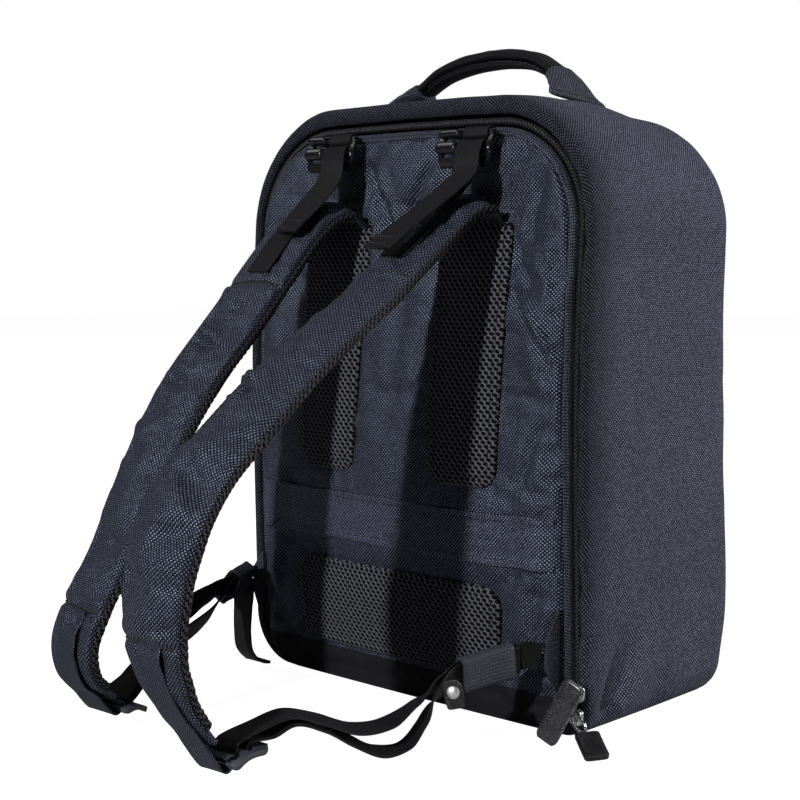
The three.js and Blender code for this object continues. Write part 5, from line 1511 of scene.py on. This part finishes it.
def handle(threads):
    rows = [dict(x=x, y=HANDLE_Y, z=z, w=w, t=t, wide=90) for x, z, w, t in HANDLE_ROWS]
    s = Strip(rows, spacing=2.0)
    ang = np.arange(32) * math.pi / 16
    sq = lambda c, e: np.sign(c) * np.abs(c) ** e
    up = -np.sign(s.out[len(s) // 2, 2])  # the way down, along out
    lobe = s.place(sq(np.cos(ang), 0.85)[None] * (s.w / 2)[:, None], -up * 1.9 + sq(np.sin(ang), 0.9)[None] * (s.t / 2 - 1.9)[:, None])
    crease = 0.35 * noise(s.s[:, None] / 16, ang[None] * 1.3, 61) + 0.25 * noise(s.s[:, None] / 7, ang[None] * 2, 62)
    mid = lobe.mean(1, keepdims=True)
    lobe = lobe + unit(lobe - mid) * crease[..., None]
    piece = Piece()
    idx = piece.grid(lobe, wrap_j=True)
    piece.fan(idx[0])
    piece.fan(idx[-1])
    # the sewn lip along the underside
    fx = np.sin(np.clip(s.s / s.s[-1], 0, 1) * math.pi) ** 0.5
    lip = s.place(np.cos(ang)[None] * (s.w * 0.40)[:, None], up * (s.t / 2 - 1.5 + 0.2 * fx)[:, None] + np.sin(ang)[None] * (3.0 * fx + 0.5)[:, None])
    jdx = piece.grid(lip, wrap_j=True)
    piece.fan(jdx[0])
    piece.fan(jdx[-1])
    piece.make("handle_roll", M_HANDLE, nodes=["grab_handle"], slot="canvas")
    for sgn in (1, -1):
        pts = s.at + s.across * (sgn * s.w * 0.44)[:, None] + s.out * (up * s.t * 0.27)[:, None]
        threads.line(pts[4:-4], unit(s.across * sgn + s.out * up)[4:-4], length=2.8, gap=1.4, r=0.36)
    for side, k in (("left", -1), ("right", 1)):
        rows = [dict(x=k * x, y=HANDLE_Y - 1.2 * i, z=z - (4.2 * (1 - i / 4) if k < 0 else 0), w=w * 1.2, t=t, wide=90) for i, (x, z, w, t) in enumerate(TAB_ROWS)]
        s = Strip(rows, spacing=1.2)
        f = s.s / s.s[-1]
        ring = s.place(sq(np.cos(ang), 0.8)[None] * (s.w / 2)[:, None], sq(np.sin(ang), 0.8)[None] * (s.t / 2)[:, None])
        pleat = 0.5 * np.sin(np.cos(ang) * 9)[None] * np.sin(f * math.pi)[:, None] * (np.abs(np.sin(ang)) > 0.3)[None]
        ring = ring + s.out[:, None] * (pleat * np.sign(np.sin(ang))[None])[..., None]
        piece = Piece()
        idx = piece.grid(ring, wrap_j=True)
        piece.fan(idx[0])
        piece.fan(idx[-1])
        piece.make(f"handle_fan_{side}", M_FAN, nodes=[f"handle_tab_{side}"], slot="canvas")
        i = int(0.86 * len(s))
        a = np.linspace(-0.42, 0.42, 14) * s.w[i]
        dn = 1 if s.out[i, 2] > 0 else -1
        threads.line(s.at[i] + a[:, None] * s.across[i] + s.out[i] * dn * (s.t[i] / 2 + 0.3), s.out[i] * dn, length=2.4, gap=1.2, r=0.32)


# ---------------------------------------------------------------- zip sliders and pulls
PULLS = {
    "upper": dict(slider=(162.5, -103.6, 33), top=(167, -114.6, 42.8), end=(151, -124.5, 4.8), half=8, thick=4.2, wide=12, **{"from": -2.0, "to": (-0.6, -0.6, -1.6)}),
    "lower": dict(slider=(161.5, -103.6, 17), top=(174, -112.5, 12), end=(193, -124, 3.4), half=8.5, thick=3.4, wide=42, **{"from": 0.6, "to": (2.4, -4.2, -1.5)}),
}


def pull(name, mat, threads):
    p = PULLS[name]
    slider, top, end = (np.array(p[k], float) for k in ("slider", "top", "end"))
    # slider: a wedge with a bridge over it; it stands out towards -Y
    outline_pts = np.array([(-4.2, -5), (4.2, -5), (5, 3), (2.4, 6.2), (-2.4, 6.2), (-5, 3)], float)
    loop = np.concatenate([a + (b - a) * np.linspace(0, 1, 5, endpoint=False)[:, None] for a, b in zip(outline_pts, np.roll(outline_pts, -1, 0))])
    for _ in range(2):
        loop = (np.roll(loop, 1, 0) + 2 * loop + np.roll(loop, -1, 0)) / 4
    prof = [(0.86, 0.0), (0.97, 0.25), (1.0, 0.7), (1.0, 1.3), (0.9, 1.7), (0.9, 2.6), (1.0, 3.0), (1.0, 3.6), (0.95, 4.1), (0.84, 4.4), (0.5, 4.55)]
    pts = np.array([[slider + np.array([x * k, -h, z * k]) for x, z in loop] for k, h in prof])
    piece = Piece()
    idx = piece.grid(pts, wrap_j=True)
    piece.fan(idx[0])
    piece.fan(idx[-1])
    arch = np.array([slider + np.array([0, -4.2 - 2.4 * math.sin(t), -3.6 * math.cos(t) + 0.5]) for t in np.linspace(0.05, math.pi - 0.05, 17)])
    ang = np.arange(12) * math.pi / 6
    tan = unit(np.gradient(arch, axis=0))
    side = np.array([1.0, 0, 0])
    bar = arch[:, None] + np.cos(ang)[None, :, None] * side * 1.25 + np.sin(ang)[None, :, None] * np.cross(tan, side)[:, None] * 0.75
    jdx = piece.grid(bar, wrap_j=True)
    piece.fan(jdx[0])
    piece.fan(jdx[-1])
    piece.make(f"slider_{name}", M_NICKEL, nodes=[f"zip_slider_{name}"], slot="nickel", sharp=60)
    # wire ring
    along = unit(end - top)
    eye = np.array([slider[0], slider[1] - 6.2, slider[2] + 1])
    mid, reach = (eye + top) / 2, np.linalg.norm(eye - top) / 2 - 0.3
    dr = unit(top - eye)
    sd = unit(np.cross(dr, [0, 1, 0]))
    a = np.arange(40) * math.pi / 20
    c = mid + reach * np.cos(a)[:, None] * dr + 4.2 * np.sin(a)[:, None] * sd
    rad = unit(np.cos(a)[:, None] * dr + np.sin(a)[:, None] * sd)
    up = np.cross(dr, sd)
    ring = c[:, None] + 0.95 * (np.cos(ang)[None, :, None] * rad[:, None] + np.sin(ang)[None, :, None] * up)
    piece = Piece()
    piece.grid(ring, wrap_i=True, wrap_j=True)
    piece.make(f"ring_{name}", M_NICKEL, nodes=[f"pull_ring_{name}"], slot="nickel")
    # leather: two layers folded over the ring and sewn together
    rows = []
    for u, k in zip((0.03, 0.12, 0.9, 1.0), (1.4, 2, 2, 1.7)):
        v = top + along * p["from"]
        v = v + (end + np.array(p["to"]) - v) * u
        rows.append(dict(x=v[0], y=v[1], z=v[2], wide=p["wide"], w=k * p["half"], t=p["thick"]))
    s = Strip(rows, spacing=0.8)
    f = s.s / s.s[-1]
    w = s.w * np.minimum(1, 0.86 + 0.14 * smooth(0, 0.05, f)) * np.minimum(1, 0.9 + 0.1 * smooth(0, 0.03, 1 - f))
    t = s.t * np.minimum(1, 0.55 + 0.45 * np.sqrt(np.clip(f / 0.04, 0, 1))) * np.minimum(1, 0.7 + 0.3 * np.sqrt(np.clip((1 - f) / 0.03, 0, 1)))
    us = np.array([-1, -0.97, -0.93, -0.72, -0.35, 0, 0.35, 0.72, 0.93, 0.97, 1, 0.97, 0.93, 0.72, 0.35, 0, -0.35, -0.72, -0.93, -0.97])
    hs = np.array([0.35, 0.7, 0.92, 1, 1.03, 1.04, 1.03, 1, 0.92, 0.7, 0.35, -0.7, -0.92, -1, -1.03, -1.04, -1.03, -1, -0.92, -0.7])
    us = np.insert(us, [11, 20], [0.955, -0.955])
    hs = np.insert(hs, [11, 20], [0.0, 0.0])
    q = s.place(us[None] * (w / 2)[:, None], hs[None] * (t / 2)[:, None])
    q += s.out[:, None] * (0.25 * noise(s.s / 12, 0.0, 71))[:, None, None]
    piece = Piece()
    idx = piece.grid(q, wrap_j=True)
    piece.fan(idx[0])
    piece.fan(idx[-1])
    piece.make(f"pull_leather_{name}", mat, nodes=[f"leather_pull_{name}"], slot="leather", sharp=70)
    sew = (f > 0.1) & (f < 0.94)
    for sgn in (1, -1):
        for sd_ in (1, -1):
            line = s.at[sew] + s.across[sew] * (sgn * 0.72 * w[sew] / 2)[:, None] + s.out[sew] * (sd_ * (t[sew] / 2 + 0.05))[:, None]
            threads.line(line, s.out[sew] * sd_, length=2.0, gap=1.1, r=0.3)


# ---------------------------------------------------------------- making
threads, dark = Thread(), Thread()
shell()
panel()
gusset()
zipper()
_, ring_l = mesh_pad("mesh_pad_left", "mesh_channel_left", CHANNEL_SHAPE, CHANNEL["thick"], cx=-66)
_, ring_r = mesh_pad("mesh_pad_right", "mesh_channel_right", CHANNEL_SHAPE, CHANNEL["thick"], cx=66)
_, ring_b = mesh_pad("mesh_pad_lumbar", "lumbar_pad", LUMBAR_SHAPE, LUMBAR["thick"], step=0.8, crown_by=1.6)
_, sleeve = band()
for loop in (ring_l, ring_r, ring_b):
    dark.line(loop, np.array([0, -1.0, 0]), length=2.6, gap=1.3, r=0.32, closed=True)
for row in (3, -4):
    dark.line(sleeve[row][4:-4] + np.array([0, -0.1, 0]), np.array([0, -1.0, 0]), length=2.8, gap=1.4, r=0.32)
for x in (-122.0, 122.0):
    col = int(np.argmin(np.abs(sleeve[0, :, 0] - x)))
    threads.line(sleeve[1:-1, col] + np.array([0, -0.15, 0]), np.array([0, -1.0, 0]), length=2.4, gap=1.1, r=0.34)
for side in ("left", "right"):
    strap_pad(side, threads)
    strap_lining(side)
    tail_webbing(side)
    adjuster(side)
    corner_tab(side, threads)
    lifters(side, threads)
    buckle(f"ladder_lock_{side}", M_LOCK_SHEEN)
    buckle(f"lifter_buckle_{side}", M_PLASTIC)
keeper("keeper_loop_right", "keeper_right", ADJ_COARSE["right"].part(4, 7), 11, -4.9, 1.7, 1.1, threads)
keeper("keeper_loop_left", "keeper_left", ADJ_COARSE["left"].part(2, 5), 13.4, -7.6, 2.5, 1.1, dark)
keeper_tab()
handle(threads)
pull("upper", M_PEBBLE_GLINTS, dark)
pull("lower", M_LEATHER, threads)
for o in (threads.make("stitches_light", M_THREAD), dark.make("stitches_dark", M_THREAD_DARK), SEAMS.make("strap_seams", M_THREAD_DARK)):
    own(o)

# ---------------------------------------------------------------- stage, light and camera
def floor_object():
    g = Graph("floor_pale", Roughness=0.9, Specular_IOR_Level=0.1)
    n = g.noise(3.0, 2.0)
    g.finish(g.mix(n, (0.40, 0.40, 0.40), (0.43, 0.43, 0.43)))
    t = g.t
    lp, em = t.nodes.new("ShaderNodeLightPath"), t.nodes.new("ShaderNodeEmission")
    em.inputs[0].default_value, em.inputs[1].default_value = (1, 1, 1, 1), 1.0
    add, fac = t.nodes.new("ShaderNodeAddShader"), t.nodes.new("ShaderNodeMath")
    fac.operation = "MULTIPLY"
    t.links.new(lp.outputs["Is Camera Ray"], fac.inputs[0])
    fac.inputs[1].default_value = 0.965
    out = next(x for x in t.nodes if x.type == "OUTPUT_MATERIAL")
    t.links.new(fac.outputs[0], em.inputs[1])
    t.links.new(g.bsdf.outputs[0], add.inputs[0])
    t.links.new(em.outputs[0], add.inputs[1])
    t.links.new(add.outputs[0], out.inputs[0])
    me = bpy.data.meshes.new("floor")
    b = bmesh.new()
    bmesh.ops.create_grid(b, x_segments=2, y_segments=2, size=6.0)
    b.to_mesh(me)
    b.free()
    me.materials.append(g.mat)
    o = bpy.data.objects.new("floor", me)
    o.location.z = -0.0004
    scene.collection.objects.link(o)
    return o


def world():
    w = bpy.data.worlds.new("studio")
    w.use_nodes = True
    t = w.node_tree
    t.nodes.clear()
    out, bg = t.nodes.new("ShaderNodeOutputWorld"), t.nodes.new("ShaderNodeBackground")
    lp, m = t.nodes.new("ShaderNodeLightPath"), t.nodes.new("ShaderNodeMapRange")
    t.links.new(lp.outputs["Is Camera Ray"], m.inputs["Value"])
    m.inputs["To Min"].default_value, m.inputs["To Max"].default_value = 0.024, 1.0
    t.links.new(m.outputs[0], bg.inputs[1])
    bg.inputs[0].default_value = (1, 1, 1, 1)
    t.links.new(bg.outputs[0], out.inputs[0])
    scene.world = w


def area(name, at, target, size, power, colour=(1, 1, 1), size_y=None):
    l = bpy.data.lights.new(name, "AREA")
    l.energy, l.size, l.color = power, size, colour
    if size_y:
        l.shape, l.size_y = "RECTANGLE", size_y
    o = bpy.data.objects.new(name, l)
    o.location = at
    o.rotation_euler = (Vector(target) - Vector(at)).to_track_quat("-Z", "Y").to_euler()
    scene.collection.objects.link(o)
    return o


floor_object()
world()
area("key", (0.39, -3.02, 1.42), (0, -0.1, 0.2), 0.13, 88)
area("side", (1.9, 1.75, 1.05), (0.1, 0, 0.22), 1.2, 60)
area("top", (0.2, 0.5, 2.6), (0, 0, 0.2), 1.0, 9)
area("left_high", (-1.36, -0.74, 1.74), (0, -0.1, 0.35), 0.8, 5)

cam = bpy.data.cameras.new("Camera")
cam.lens, cam.sensor_width, cam.sensor_fit = 70.14, 36.0, "HORIZONTAL"
cam.clip_end = 50
eye = bpy.data.objects.new("Camera", cam)
az, el = math.radians(42.98), math.radians(5.45)
back = Vector((math.sin(az) * math.cos(el), -math.cos(az) * math.cos(el), math.sin(el)))
right = Vector((math.cos(az), math.sin(az), 0))
up = back.cross(right)
eye.matrix_world = Matrix(((right.x, up.x, back.x, 0.76235), (right.y, up.y, back.y, -0.92148), (right.z, up.z, back.z, 0.32409), (0, 0, 0, 1)))
scene.collection.objects.link(eye)
scene.camera = eye

bpy.context.view_layer.update()
